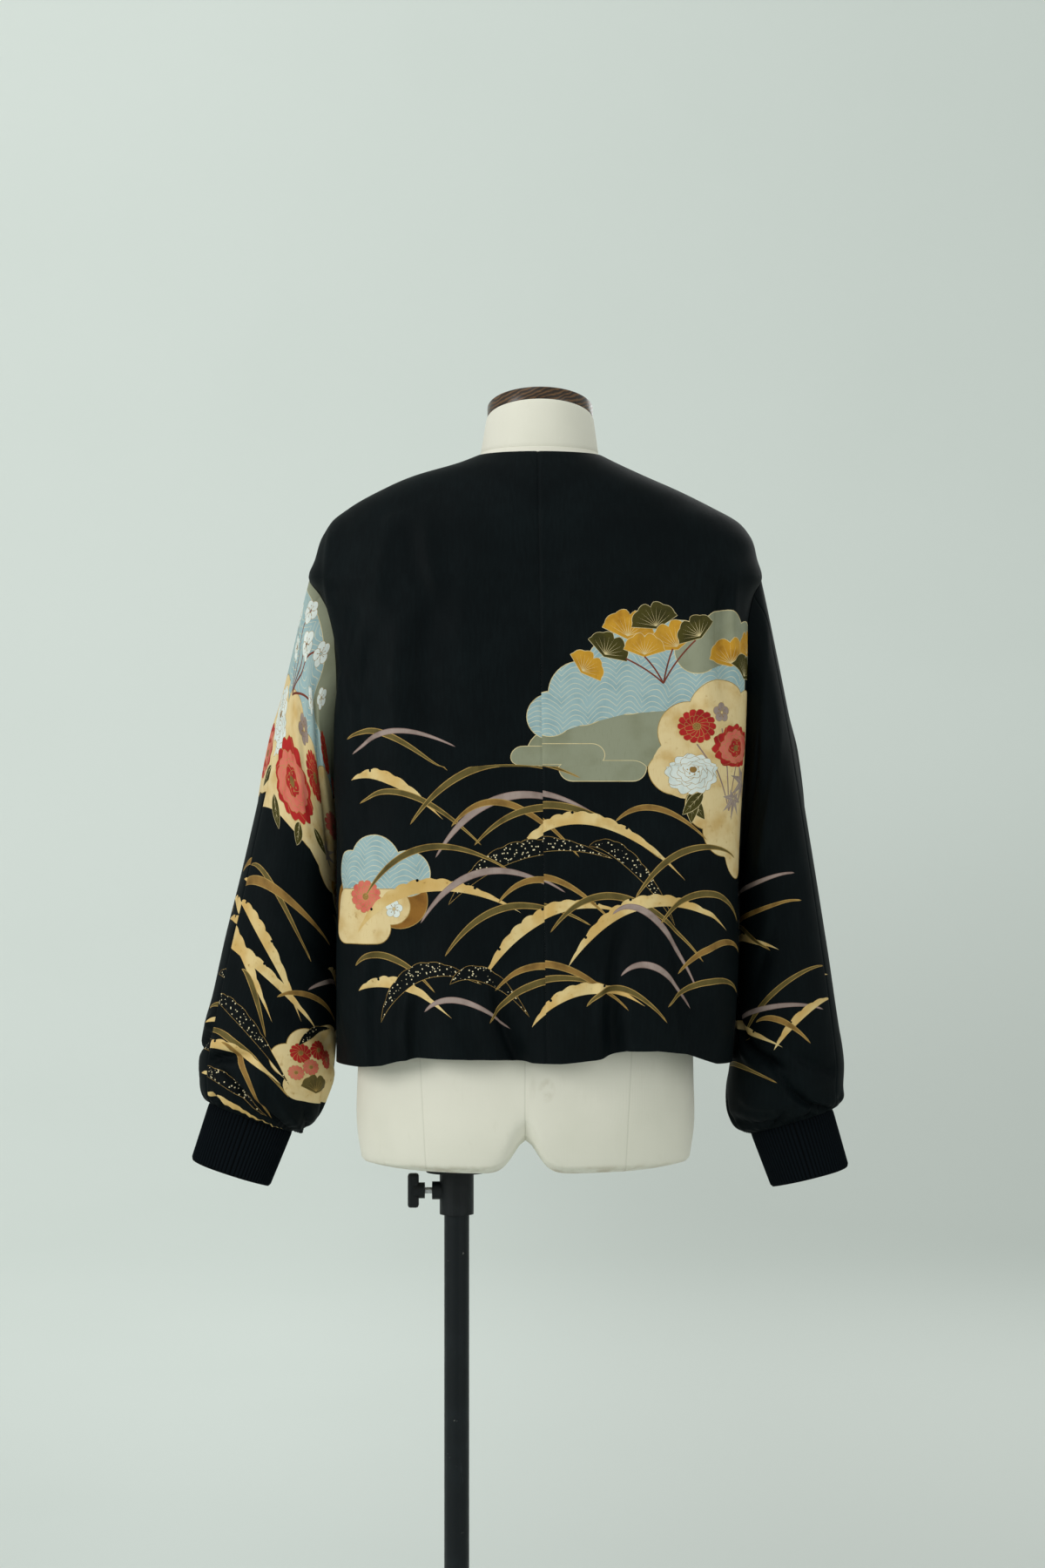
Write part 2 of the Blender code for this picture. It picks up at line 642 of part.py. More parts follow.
def add_cylinder(name, radius, low, high, place, material, bevel=0.0):
    """An upright cylinder between two heights."""
    shell = bmesh.new()
    bmesh.ops.create_cone(shell, cap_ends=True, segments=ROUND_SIDES, radius1=radius,
                          radius2=radius, depth=high - low)
    mesh = bpy.data.meshes.new(name)
    shell.to_mesh(mesh)
    shell.free()
    mesh.shade_smooth()
    mesh.set_sharp_from_angle(angle=SHARP_ANGLE)
    mesh.materials.append(material)
    thing = bpy.data.objects.new(name, mesh)
    thing.location = (place[0], place[1], (low + high) / 2)
    bpy.context.scene.collection.objects.link(thing)
    if bevel:
        edge = thing.modifiers.new("rounding", "BEVEL")
        edge.width = bevel
        edge.segments = 2
        edge.limit_method = "ANGLE"
    return thing


def lay_along_x(thing, start, end, z):
    """Turns an upright cylinder to lie along X between two points."""
    thing.rotation_euler = (0, math.pi / 2, 0)
    thing.location = ((start + end) / 2, 0, z)


def boolean(thing, tool, operation):
    step = thing.modifiers.new(operation.lower(), "BOOLEAN")
    step.operation = operation
    step.object = tool
    tool.hide_render = True
    tool.display_type = "WIRE"


def cut(thing, tool):
    boolean(thing, tool, "DIFFERENCE")


def make_cap(wood):
    """The turned wooden cap on the slanted neck."""
    cap = add_cylinder("form_neck_cap", CAP_RADIUS, 0, CAP_THICKNESS, (0, 0), wood, CAP_BEVEL)
    lift = SEAM_GAP + CAP_THICKNESS / 2
    cap.rotation_euler = (NECK_TILT, 0, 0)
    cap.location = (NECK_CENTRE_X, -math.sin(NECK_TILT) * lift,
                    NECK_TOP_CENTRE_Z + math.cos(NECK_TILT) * lift)


def make_clamp(black, steel):
    """The plate, collar and boss under the form, its bolt and its wing knob."""
    plate_top = TORSO_BOTTOM - SEAM_GAP
    plate_low = plate_top - PLATE_THICKNESS
    clamp = add_cylinder("form_clamp", PLATE_RADIUS, plate_low, plate_top, (POLE_X, 0), black)
    inside = PLATE_THICKNESS / 2
    collar = add_cylinder("collar_tool", COLLAR_RADIUS, COLLAR_BOTTOM, plate_low + inside,
                          (POLE_X, 0), black)
    boolean(clamp, collar, "UNION")
    boss = add_cylinder("boss_tool", BOSS_RADIUS, 0, BOSS_REACH, (0, 0), black)
    lay_along_x(boss, POLE_X, POLE_X + BOSS_REACH, CLAMP_Z)
    boolean(clamp, boss, "UNION")
    bore = add_cylinder("collar_bore", COLLAR_BORE_RADIUS, COLLAR_BOTTOM - TOOL_OVERSHOOT,
                        plate_top + TOOL_OVERSHOOT, (POLE_X, 0), black)
    cut(clamp, bore)
    hole = add_cylinder("bolt_hole", BOLT_HOLE_RADIUS, 0, BOSS_REACH, (0, 0), black)
    lay_along_x(hole, POLE_X + POLE_RADIUS / 2, POLE_X + BOSS_REACH + TOOL_OVERSHOOT, CLAMP_Z)
    cut(clamp, hole)

    bolt_start = POLE_X + POLE_RADIUS + 2 * SEAM_GAP
    bolt_end = POLE_X + BOLT_END
    bolt = add_cylinder("clamp_bolt", BOLT_RADIUS, 0, bolt_end - bolt_start, (0, 0), steel)
    lay_along_x(bolt, bolt_start, bolt_end, CLAMP_Z)

    hub_start = bolt_end + SEAM_GAP
    hub_end = hub_start + HUB_LENGTH
    knob = add_cylinder("clamp_knob", HUB_RADIUS, 0, HUB_LENGTH + WING_THICKNESS / 2,
                        (0, 0), black)
    lay_along_x(knob, hub_start, hub_end + WING_THICKNESS / 2, CLAMP_Z)
    wing = add_block("wing_tool", (WING_THICKNESS, WING_DEPTH, WING_LENGTH), WING_BEVEL, black)
    wing.location = (hub_end + WING_THICKNESS / 2, 0, CLAMP_Z)
    boolean(knob, wing, "UNION")


def add_block(name, size, bevel, material):
    """A block with rounded edges, centred on its own origin."""
    shell = bmesh.new()
    bmesh.ops.create_cube(shell, size=1)
    bmesh.ops.scale(shell, vec=size, verts=shell.verts)
    bmesh.ops.bevel(shell, geom=shell.edges[:], offset=bevel, segments=2, profile=0.5,
                    affect="EDGES")
    mesh = bpy.data.meshes.new(name)
    shell.to_mesh(mesh)
    shell.free()
    mesh.materials.append(material)
    thing = bpy.data.objects.new(name, mesh)
    bpy.context.scene.collection.objects.link(thing)
    return thing


def make_stand(black):
    """A plain round foot and the pole that rises into the form."""
    add_cylinder("stand_base", BASE_RADIUS, 0, BASE_THICKNESS, (0, 0), black, BASE_BEVEL)
    add_cylinder("pole", POLE_RADIUS, BASE_THICKNESS + SEAM_GAP, POLE_TOP, (POLE_X, 0), black)


def material(name, color, roughness, metallic=0.0):
    made = bpy.data.materials.new(name)
    made.use_nodes = True
    shader = made.node_tree.nodes["Principled BSDF"]
    shader.inputs["Base Color"].default_value = (*color, 1)
    shader.inputs["Roughness"].default_value = roughness
    shader.inputs["Metallic"].default_value = metallic
    return made


def clear_scene():
    for thing in list(bpy.data.objects):
        bpy.data.objects.remove(thing)


def main():
    clear_scene()
    silk = material("silk", (0.010, 0.014, 0.015), 0.55)
    knit = material("rib_knit", (0.006, 0.009, 0.011), 0.85)
    linen = material("form_cloth", (0.74, 0.73, 0.64), 0.9)
    wood = material("wood", (0.10, 0.04, 0.018), 0.4)
    black = material("black_paint", (0.012, 0.016, 0.02), 0.35)
    steel = material("steel", (0.55, 0.56, 0.58), 0.3, 1.0)
    for side, rings, cuff in ((1, LEFT_SLEEVE, LEFT_CUFF), (-1, RIGHT_SLEEVE, RIGHT_CUFF)):
        make_body(side, silk)
        make_sleeve(side, rings, silk)
        make_cuff(side, cuff, knit)
    make_torso(linen)
    make_cap(wood)
    make_clamp(black, steel)
    make_stand(black)


main()
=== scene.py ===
"""Looks of a kimono jacket of black printed silk with rib-knit cuffs, on a dress form.

The jacket's panels are cut as flat pieces of silk. The print is drawn in the flat
cut, and each panel is then laid on the form's shape with its folds and creases.
Metres, +Z up. The back faces +Y and the wearer's left is +X.
"""

import math
from collections import namedtuple

import bmesh
import bpy
import numpy as np
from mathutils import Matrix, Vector
from mathutils.geometry import delaunay_2d_cdt


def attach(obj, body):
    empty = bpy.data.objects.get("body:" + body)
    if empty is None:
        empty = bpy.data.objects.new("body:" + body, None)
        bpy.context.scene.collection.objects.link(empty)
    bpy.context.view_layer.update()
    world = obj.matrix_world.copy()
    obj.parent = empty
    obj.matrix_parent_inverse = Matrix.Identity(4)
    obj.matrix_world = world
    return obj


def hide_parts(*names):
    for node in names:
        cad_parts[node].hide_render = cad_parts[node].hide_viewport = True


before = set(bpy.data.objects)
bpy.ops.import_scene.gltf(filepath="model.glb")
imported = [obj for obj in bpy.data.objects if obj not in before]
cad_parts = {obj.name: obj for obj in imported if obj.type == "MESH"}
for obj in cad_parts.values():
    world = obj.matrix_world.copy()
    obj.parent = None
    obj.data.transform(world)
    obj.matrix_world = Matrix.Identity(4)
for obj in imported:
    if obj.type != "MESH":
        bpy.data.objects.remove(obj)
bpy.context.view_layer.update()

MM = 0.001

# The jacket's body by height, in millimetres, as in the part's source
Level = namedtuple("Level", "height left right back front square drop")
BODY_LEVELS = [Level(*row) for row in (
    (805.0, 187.5, 204.5, 136, 128, 2.7, 0), (860.0, 187.0, 208.5, 134, 126, 2.9, 0),
    (914.0, 186.5, 210.5, 131, 124, 3.1, 0), (988.0, 186.0, 209.5, 128, 121, 3.5, 0),
    (1067.0, 185.0, 212.0, 125, 119, 4.1, 0), (1100.0, 184.5, 214.0, 123, 118, 4.4, 0),
    (1160.0, 184.5, 216.5, 119, 117, 4.7, 0), (1210.0, 186.5, 218.0, 116, 115, 4.6, 0),
    (1250.0, 193.0, 220.5, 112, 113, 3.9, 0), (1270.0, 203.5, 226.0, 110, 112, 3.3, 0),
    (1287.0, 215.0, 234.5, 108, 110, 2.95, 0), (1305.0, 209.5, 230.5, 105, 108, 2.7, 6),
    (1330.0, 201.5, 223.0, 100.5, 105, 2.45, 17), (1344.0, 192.0, 211.0, 97, 102, 2.25, 25),
    (1357.5, 176.0, 187.0, 92, 99, 2.15, 33), (1374.0, 147.0, 154.0, 85, 94, 2.1, 43),
    (1389.5, 112.0, 119.0, 76, 88, 2.05, 53), (1403.0, 66.0, 90.0, 66, 79, 2.0, 61),
    (1409.5, 49.0, 77.0, 61, 74, 2.0, 65),
)]
SIDE_LEAN = 0.035
DROP_POWER = 3
CENTRE_SEAM_TOP_X = -12 * MM
CENTRE_SEAM_HEM_X = -20 * MM
HEM_RISE_TOP = 1040
HEM_RISE_POWER = 2
FOLD_GROWTH = 1.2
FOLD_SIDE_POWER = 0.3
FRONT_OPENING = 4 * MM
SEAM_GAP = 0.02 * MM

Fold = namedtuple("Fold", "hem_x top_x reach width height")
BACK_FOLDS = [Fold(*row) for row in (
    (150, 156, 1060, 26, 12), (106, 112, 960, 15, -10), (66, 60, 1000, 30, 5),
    (4, 34, 930, 15, -8), (-40, -34, 980, 27, 9), (-80, -76, 930, 15, -8),
    (-122, -128, 980, 26, 4), (-176, -170, 1080, 24, 6),
)]
FRONT_FOLDS = [Fold(*row) for row in (
    (156, 150, 1060, 24, 7), (112, 118, 960, 17, -7), (70, 62, 1010, 26, 8),
    (-62, -56, 1000, 24, 7), (-106, -112, 950, 17, -8), (-158, -150, 1080, 26, 8),
)]
HemPoint = namedtuple("HemPoint", "x rise")
BACK_HEM = [HemPoint(*row) for row in (
    (-206, 4), (-186, 6), (-158, 17), (-128, 21), (-96, 21), (-79, 17), (-66, 13), (-34, 10),
    (-4, 10), (12, 13), (104, 14), (116, 12), (140, 6), (160, 4), (178, 4), (190, 4),
)]
FRONT_HEM = [HemPoint(*row) for row in (
    (-206, 3), (-158, -3), (-108, 4), (-62, -2), (-20, 2), (70, -2), (112, 4), (156, -2),
    (190, 4),
)]

ARMHOLE_TOP = 1287 * MM
ARMHOLE_BOTTOM = 1100 * MM
ARMHOLE_HALF_DEPTH = 58 * MM
ARMHOLE_GAP = 0.35 * MM
ARMHOLE_ROWS = 52
SECTION_SAMPLES = 500
# Rows over the shoulder lie a little further apart
SHOULDER_SAMPLES = 200
SHOULDER_STEP_SHARE = 1.25

SleeveRing = namedtuple("SleeveRing", "outer_x outer_z inner_x inner_z depth forward")
LEFT_SLEEVE = [SleeveRing(*row) for row in (
    (215.0, 1287, 184.5, 1100.0, 58, 0), (221.5, 1262, 188.0, 1088.0, 64, 0),
    (229.5, 1226, 188.5, 1075.0, 69, 2), (238.5, 1188, 188.5, 1058.0, 72, 5),
    (249.5, 1142, 188.5, 1036.0, 73, 8), (261.0, 1094, 188.5, 1008.0, 72, 10),
    (273.0, 1042, 188.8, 972.0, 71, 12), (286.0, 987, 188.4, 932.0, 70, 12),
    (299.0, 936, 188.4, 890.0, 68, 12), (311.0, 888, 188.7, 848.0, 66, 12),
    (321.0, 845, 191.0, 808.0, 63, 12), (327.0, 808, 196.0, 776.0, 59, 11),
    (327.0, 786, 207.0, 750.0, 51, 10), (323.5, 772.5, 221.0, 738.5, 39, 8),
    (316.5, 765.0, 233.2, 735.9, 23, 8),
)]
RIGHT_SLEEVE = [SleeveRing(*row) for row in (
    (234.5, 1287, 214.0, 1100.0, 58, 0), (240.5, 1260, 217.0, 1088.0, 64, 0),
    (247.5, 1226, 216.5, 1075.0, 69, 2), (255.5, 1188, 215.7, 1058.0, 72, 5),
    (264.5, 1142, 214.5, 1036.0, 74, 8), (273.0, 1095, 213.0, 1008.0, 74, 10),
    (281.5, 1045, 212.5, 972.0, 73, 12), (290.5, 990, 213.0, 932.0, 72, 12),
    (299.0, 937, 211.4, 890.0, 70, 12), (306.5, 890, 209.6, 850.0, 68, 12),
    (313.0, 848, 206.9, 814.0, 65, 12), (318.5, 808, 201.0, 783.0, 61, 11),
    (318.0, 783, 201.5, 755.0, 53, 10), (318.0, 768.5, 210.5, 738.5, 42, 8),
    (307.5, 758.4, 225.3, 734.4, 23, 8),
)]
SLEEVE_SQUARE = 2.25
SLEEVE_SAMPLES = 240
SLEEVE_FINE_RINGS = 400
OVER_ARM_SHARE = 0.1
# A sleeve's mean length over its length along the over-arm seam
SLEEVE_CUT_SHARE = 0.85

Cuff = namedtuple("Cuff", "top_outer top_inner bottom_outer bottom_inner")
LEFT_CUFF = Cuff((316.5, 764.6), (233.2, 735.5), (334.5, 708.0), (256.0, 680.0))
RIGHT_CUFF = Cuff((307.5, 758.0), (225.3, 734.0), (323.5, 701.0), (246.0, 679.5))
CUFF_HALF_DEPTH_TOP = 22 * MM
CUFF_HALF_DEPTH_BOTTOM = 21 * MM
CUFF_FORWARD = 8 * MM
RIBS = 72

# The cloth: how fine its surface is, its thickness, and the dip beside a seam
CLOTH_STEP = 3.5 * MM
SILK_THICKNESS = 0.9 * MM
SEAM_STOPS = [0.0, 0.7 * MM, 1.6 * MM, 3.0 * MM]
SEAM_DIP = 0.8 * MM
SEAM_DIP_WIDTH = 1.5 * MM

# Over short rows the seam's stops move closer together
SHORT_ROW = 0.03
# How far the creases and gathers fade towards a seam, and towards a sleeve's two ends
SEAM_FADE = 9 * MM
END_FADE = 5 * MM

# One side of a crease is steeper than the other. A crease bends by a share of its length,
# keeps its full height over its middle, and then dies out.
CREASE_STEEP_SIDE = 0.5
CREASE_BEND = 0.06
CREASE_FULL_HALF = 0.28
CREASE_DIE_OUT = 0.2
# Soft creases laid over the folds: the two ends, half width and height, in millimetres.
# The back's lie across x and z, the sleeves' round (from the over-arm seam) and along.
Crease = namedtuple("Crease", "x0 z0 x1 z1 width height")
BACK_CREASES = [Crease(*row) for row in (
    (190, 1345, 182, 1215, 8, 2.6), (176, 1350, 171, 1262, 9, -1.1),
    (171, 1258, 167, 1160, 9, -5.3), (172, 1215, 174, 1010, 8, 3.4),
    (128, 1350, 144, 1250, 13, 3.4), (112, 1340, 98, 1262, 13, -1.1),
    (98, 1352, 84, 1266, 12, 2.2), (150, 1230, 147, 1030, 16, -6.2),
    (122, 1240, 116, 1090, 20, 3.6), (92, 1262, 88, 1110, 18, -3.9),
    (56, 1310, 36, 1110, 24, 2.0), (-60, 1320, -44, 1170, 24, 2.0),
    (-204, 1290, -208, 1180, 7, 3.6), (-191, 1272, -196, 1160, 8, -6.4),
    (-178, 1310, -184, 1110, 14, 2.6), (-140, 1276, -152, 1160, 20, -2.8),
    (-120, 1345, -80, 1362, 9, -1.4), (150, 1345, 96, 1366, 9, -1.4),
    (138, 930, 144, 790, 16, -8.5), (112, 890, 111, 780, 7, 7), (30, 896, -10, 786, 8, -7.0),
    (46, 884, 20, 800, 10, 5), (70, 870, 44, 812, 9, -2.2), (-74, 900, -75, 786, 8, 5.9),
    (-92, 950, -93, 790, 11, -6.4), (-116, 1030, -138, 850, 18, 4.8),
    (-150, 980, -166, 810, 14, -5.6), (-184, 1000, -188, 830, 9, 3.4),
    (168, 1000, 172, 830, 9, 3.6), (90, 1040, 96, 900, 16, -2.2), (10, 1060, 16, 930, 18, 1.7),
)]
FRONT_CREASES = [Crease(*row) for row in (
    (166, 1230, 168, 1040, 9, 1.8), (150, 1240, 146, 1090, 9, -1.4),
    (70, 980, 74, 830, 8, -1.6), (40, 1180, 46, 1010, 16, 0.8),
    (-170, 1235, -176, 1060, 9, 1.8), (-158, 1250, -152, 1110, 9, -1.4),
    (-66, 960, -70, 830, 8, -1.7), (-44, 1160, -50, 1000, 16, 0.8),
)]
LEFT_SLEEVE_CREASES = [Crease(*row) for row in (
    (-40, -490, 50, -446, 7, -9.5), (-20, -462, 40, -432, 11, 4.4),
    (18, -468, 50, -504, 6, -7.0), (60, -446, 60, -506, 12, 4.0), (40, -486, 96, -546, 8, -7.0),
    (6, -506, 28, -552, 7, -6.0), (74, -482, 118, -540, 9, 3.6),
    (110, -486, 128, -552, 7, -5.0), (142, -460, 152, -548, 9, -5.0),
    (156, -430, 176, -520, 11, 4.0), (110, -390, 164, -444, 14, -4.4),
    (16, -326, 104, -396, 17, -4.0), (50, -290, 126, -346, 16, 3.4),
    (20, -60, 70, -170, 15, 3.4), (84, -30, 122, -180, 12, -4.0),
    (-40, -120, -90, -250, 20, 3.6), (-60, -330, -30, -440, 14, -4.6),
    (-110, -380, -70, -480, 12, 4.4), (-150, -440, -106, -530, 10, -6.0),
    (-60, -470, -20, -540, 8, -5.0), (-190, -450, -150, -540, 10, 4.4),
    (-230, -470, -200, -546, 9, -5.0),
)]
RIGHT_SLEEVE_CREASES = [Crease(*row) for row in (
    (140, -352, 60, -452, 6, -9.5), (80, -434, -10, -544, 6, -9.5),
    (120, -400, 40, -482, 12, 4.6), (52, -436, 0, -470, 9, -5.5),
    (166, -440, 94, -548, 7, -8.0), (178, -420, 130, -510, 11, 4.4),
    (128, -496, 54, -520, 8, -5.5), (110, -474, 50, -496, 10, 3.6),
    (62, -500, 50, -556, 7, -6.5), (146, -480, 132, -554, 8, -5.5),
    (30, -510, 22, -552, 7, -5.0), (30, -90, 80, -210, 19, 3.6), (96, -50, 132, -200, 13, -4.0),
    (30, -250, 90, -340, 20, -4.0), (-44, -130, -96, -260, 20, 3.6),
    (-64, -340, -34, -450, 14, -4.6), (-112, -390, -74, -490, 12, 4.4),
    (-150, -450, -106, -536, 10, -6.0), (-190, -440, -156, -540, 10, 4.4),
    (-230, -470, -200, -546, 9, -5.0),
)]

# Gathers where the sleeve is eased into the cuff
GATHERS = 26
GATHER_REACH = 42 * MM
GATHER_HEIGHT = 2.6 * MM
GATHER_SPREAD = 0.5
GATHER_DRIFT = 2.7
# How the gathers shift aside: each has a size and a rate round the sleeve
GATHER_SHIFTS = ((0.9, 5.3), (0.5, 17))

# Dress form
TorsoLevel = namedtuple("TorsoLevel", "height left right back front square")
TORSO_LEVELS = [TorsoLevel(*row) for row in (
    (713, 163.5, 163.5, 101, 94, 2.5), (740, 167.6, 167.6, 110, 100, 2.4),
    (790, 167.5, 167.5, 114, 104, 2.35), (850, 163.0, 165.0, 110, 102, 2.3),
    (910, 152.0, 156.0, 101, 99, 2.3), (970, 145.0, 151.0, 96, 97, 2.3),
    (1040, 148.0, 157.0, 100, 102, 2.35), (1120, 160.0, 173.0, 107, 109, 2.4),
    (1190, 171.0, 188.0, 108, 110, 2.45), (1250, 181.0, 201.0, 104, 106, 2.4),
    (1296, 188.0, 211.0, 99, 101, 2.35),
)]


def placed(name, data):
    """A new object in the scene."""
    thing = bpy.data.objects.new(name, data)
    bpy.context.scene.collection.objects.link(thing)
    return thing


def mesh_of(name, points, faces):
    mesh = bpy.data.meshes.new(name)
    mesh.from_pydata(points, [], faces)
    return mesh


def evaluated_mesh(thing):
    """The plain mesh of an object with its modifiers applied."""
    bpy.context.view_layer.update()
    ready = thing.evaluated_get(bpy.context.evaluated_depsgraph_get())
    return bpy.data.meshes.new_from_object(ready)


def smooth_value(rows, column, height):
    """A table's column at any height, by cubic pieces through its rows."""
    heights = [row.height for row in rows]
    values = [getattr(row, column) for row in rows]
    slopes = np.gradient(values, heights)
    i = int(np.clip(np.searchsorted(heights, height) - 1, 0, len(rows) - 2))
    step = heights[i + 1] - heights[i]
    t = (height - heights[i]) / step
    start = (1 + 2 * t) * (1 - t) ** 2 * values[i] + t * (1 - t) ** 2 * step * slopes[i]
    end = t * t * (3 - 2 * t) * values[i + 1] + t * t * (t - 1) * step * slopes[i + 1]
    return start + end


def body_size(column, z):
    """One of the body's sizes at a height, both in metres."""
    return smooth_value(BODY_LEVELS, column, z / MM) * MM


def centre_seam_x(z):
    """Where the centre seam lies, which leans a little from the neck to the hem."""
    low, high = BODY_LEVELS[0].height * MM, BODY_LEVELS[-1].height * MM
    share = (z - low) / (high - low)
    return CENTRE_SEAM_HEM_X + (CENTRE_SEAM_TOP_X - CENTRE_SEAM_HEM_X) * share


def side_reach(side, z):
    """How far the body's side lies from the centre seam at a height."""
    column = "left" if side > 0 else "right"
    return body_size(column, z) - side * centre_seam_x(z)


def hem_rise(face, x, z):
    """How much a point is raised to follow the uneven hem."""
    points = BACK_HEM if face > 0 else FRONT_HEM
    rise = np.interp(x / MM, [p.x for p in points], [p.rise for p in points]) * MM
    low = BODY_LEVELS[0].height
    share = np.clip((HEM_RISE_TOP - z / MM) / (HEM_RISE_TOP - low), 0, 1)
    return rise * share**HEM_RISE_POWER


def fold_height(face, x, z):
    """How far the hanging folds push the cloth out at a point."""
    low = BODY_LEVELS[0].height
    height = np.zeros_like(x)
    for fold in BACK_FOLDS if face > 0 else FRONT_FOLDS:
        if z / MM >= fold.reach:
            continue
        share = (fold.reach - z / MM) / (fold.reach - low)
        middle = fold.top_x + (fold.hem_x - fold.top_x) * share
        bump = np.exp(-(((x / MM - middle) / fold.width) ** 2))
        height += fold.height * share**FOLD_GROWTH * bump
    return height * MM


def body_line(side, face, z):
    """The body's outer line at one height, from the centre seam to the side."""
    angle = np.linspace(0, math.pi / 2, SECTION_SAMPLES)
    square = body_size("square", z) / MM
    depth = body_size("back" if face > 0 else "front", z)
    across = np.sin(angle) ** (2 / square)
    along = np.clip(np.cos(angle), 0, 1) ** (2 / square)
    x = centre_seam_x(z) + side * side_reach(side, z) * across
    y = face * depth * along
    out = fold_height(face, x, z) * np.clip(np.cos(angle), 0, 1) ** FOLD_SIDE_POWER
    y = y + face * out
    x = x + side * SIDE_LEAN * y * across
    drop = body_size("drop", z) if face < 0 else 0
    height = z - drop * np.clip(np.cos(angle), 0, 1) ** DROP_POWER + hem_rise(face, x, z)
    return np.stack([x, y, height], axis=1)


def body_side_x(side, face, y, z):
    """Where the body's surface lies at a depth and height near the armhole."""
    square = body_size("square", z) / MM
    depth = body_size("back" if face > 0 else "front", z)
    across = max(0.0, 1 - (abs(y) / depth) ** square) ** (1 / square)
    lean = SIDE_LEAN * face * abs(y)
    return centre_seam_x(z) + side * (side_reach(side, z) + lean) * across


def armhole_oval(angle, margin):
    """Depth and height of a point on the armhole, grown by a margin."""
    middle = (ARMHOLE_TOP + ARMHOLE_BOTTOM) / 2
    half = (ARMHOLE_TOP - ARMHOLE_BOTTOM) / 2
    depth = (ARMHOLE_HALF_DEPTH + margin) * math.sin(angle)
    return depth, middle + (half + margin) * math.cos(angle)


def even_between(start, end, step):
    """Values from start to end at about even steps, both ends in."""
    return np.linspace(start, end, max(2, round(abs(end - start) / step) + 1))


def body_rows(side):
    """The heights of a body panel's rows with the armhole's half depth at each."""
    low = BODY_LEVELS[0].height * MM
    rows = [(z, 0.0) for z in even_between(low, ARMHOLE_BOTTOM - 2 * MM, CLOTH_STEP)]
    for angle in np.linspace(math.pi, 0, ARMHOLE_ROWS):
        depth, z = armhole_oval(angle, ARMHOLE_GAP)
        rows.append((z, abs(depth)))
    heights = np.linspace(rows[-1][0] + MM, BODY_LEVELS[-1].height * MM,
                          SHOULDER_SAMPLES)
    reach = np.array([side_reach(side, z) for z in heights])
    lengths = np.concatenate([[0], np.cumsum(np.hypot(np.diff(reach), np.diff(heights)))])
    stops = even_between(0, lengths[-1], CLOTH_STEP * SHOULDER_STEP_SHARE)
    rows += [(z, 0.0) for z in np.interp(stops, lengths, heights)]
    return rows


def body_lines(side, face):
    """A body panel's rows as fine lines from the centre outwards."""
    trim = SEAM_GAP / 2 if face > 0 else FRONT_OPENING / 2
    lines = []
    for z, cut_depth in body_rows(side):
        line = body_line(side, face, z)
        end_trim = SEAM_GAP / 2
        if cut_depth > SEAM_GAP:
            keep = np.abs(line[:, 1]) > cut_depth
            edge = [[body_side_x(side, face, cut_depth, z), face * cut_depth, z]]
            line = np.concatenate([line[keep], edge])
            end_trim = 0
        lines.append(trimmed(line, trim, end_trim))
    return lines


def trimmed(line, start, end):
    """A line with its two ends cut back."""
    reach = line_reach(line)
    stops = np.concatenate([[start], reach[(reach > start) & (reach < reach[-1] - end)],
                            [reach[-1] - end]])
    return at_reach(line, reach, stops)


def line_reach(line):
    lengths = np.linalg.norm(np.diff(line, axis=0), axis=1)
    return np.concatenate([[0], np.cumsum(lengths)])


def at_reach(line, reach, stops):
    return np.stack([np.interp(stops, reach, line[:, k]) for k in range(3)], axis=1)


def oval(angle, square):
    """The two sides of a rounded oval at the given angles."""
    c, s = np.cos(angle), np.sin(angle)
    power = 2 / square
    return np.sign(c) * np.abs(c) ** power, np.sign(s) * np.abs(s) ** power


def armhole_ring(side, angles):
    """The sleeve's first ring, just outside the body's surface along the armhole."""
    step = 1 * MM
    ring = []
    for angle in angles:
        depth, z = armhole_oval(angle, 0)
        face = 1 if depth >= 0 else -1
        x = body_side_x(side, face, depth, z)
        by_depth = (body_side_x(side, face, abs(depth) + step, z) - x) / step * face
        by_height = (body_side_x(side, face, depth, z + step) - x) / step
        out = np.array([1, -by_depth, -by_height]) * side
        ring.append(np.array([x, depth, z]) + out / np.linalg.norm(out) * ARMHOLE_GAP)
    return np.array(ring)


def smooth_rows(rings, shares):
    """Rings at fractional positions between the given ones, by cubic pieces."""
    slopes = np.gradient(rings, axis=0)
    out = []
    for share in shares:
        i = min(int(share), len(rings) - 2)
        t = share - i
        start = (1 + 2 * t) * (1 - t) ** 2 * rings[i] + t * (1 - t) ** 2 * slopes[i]
        end = t * t * (3 - 2 * t) * rings[i + 1] + t * t * (t - 1) * slopes[i + 1]
        out.append(start + end)
    return np.array(out)


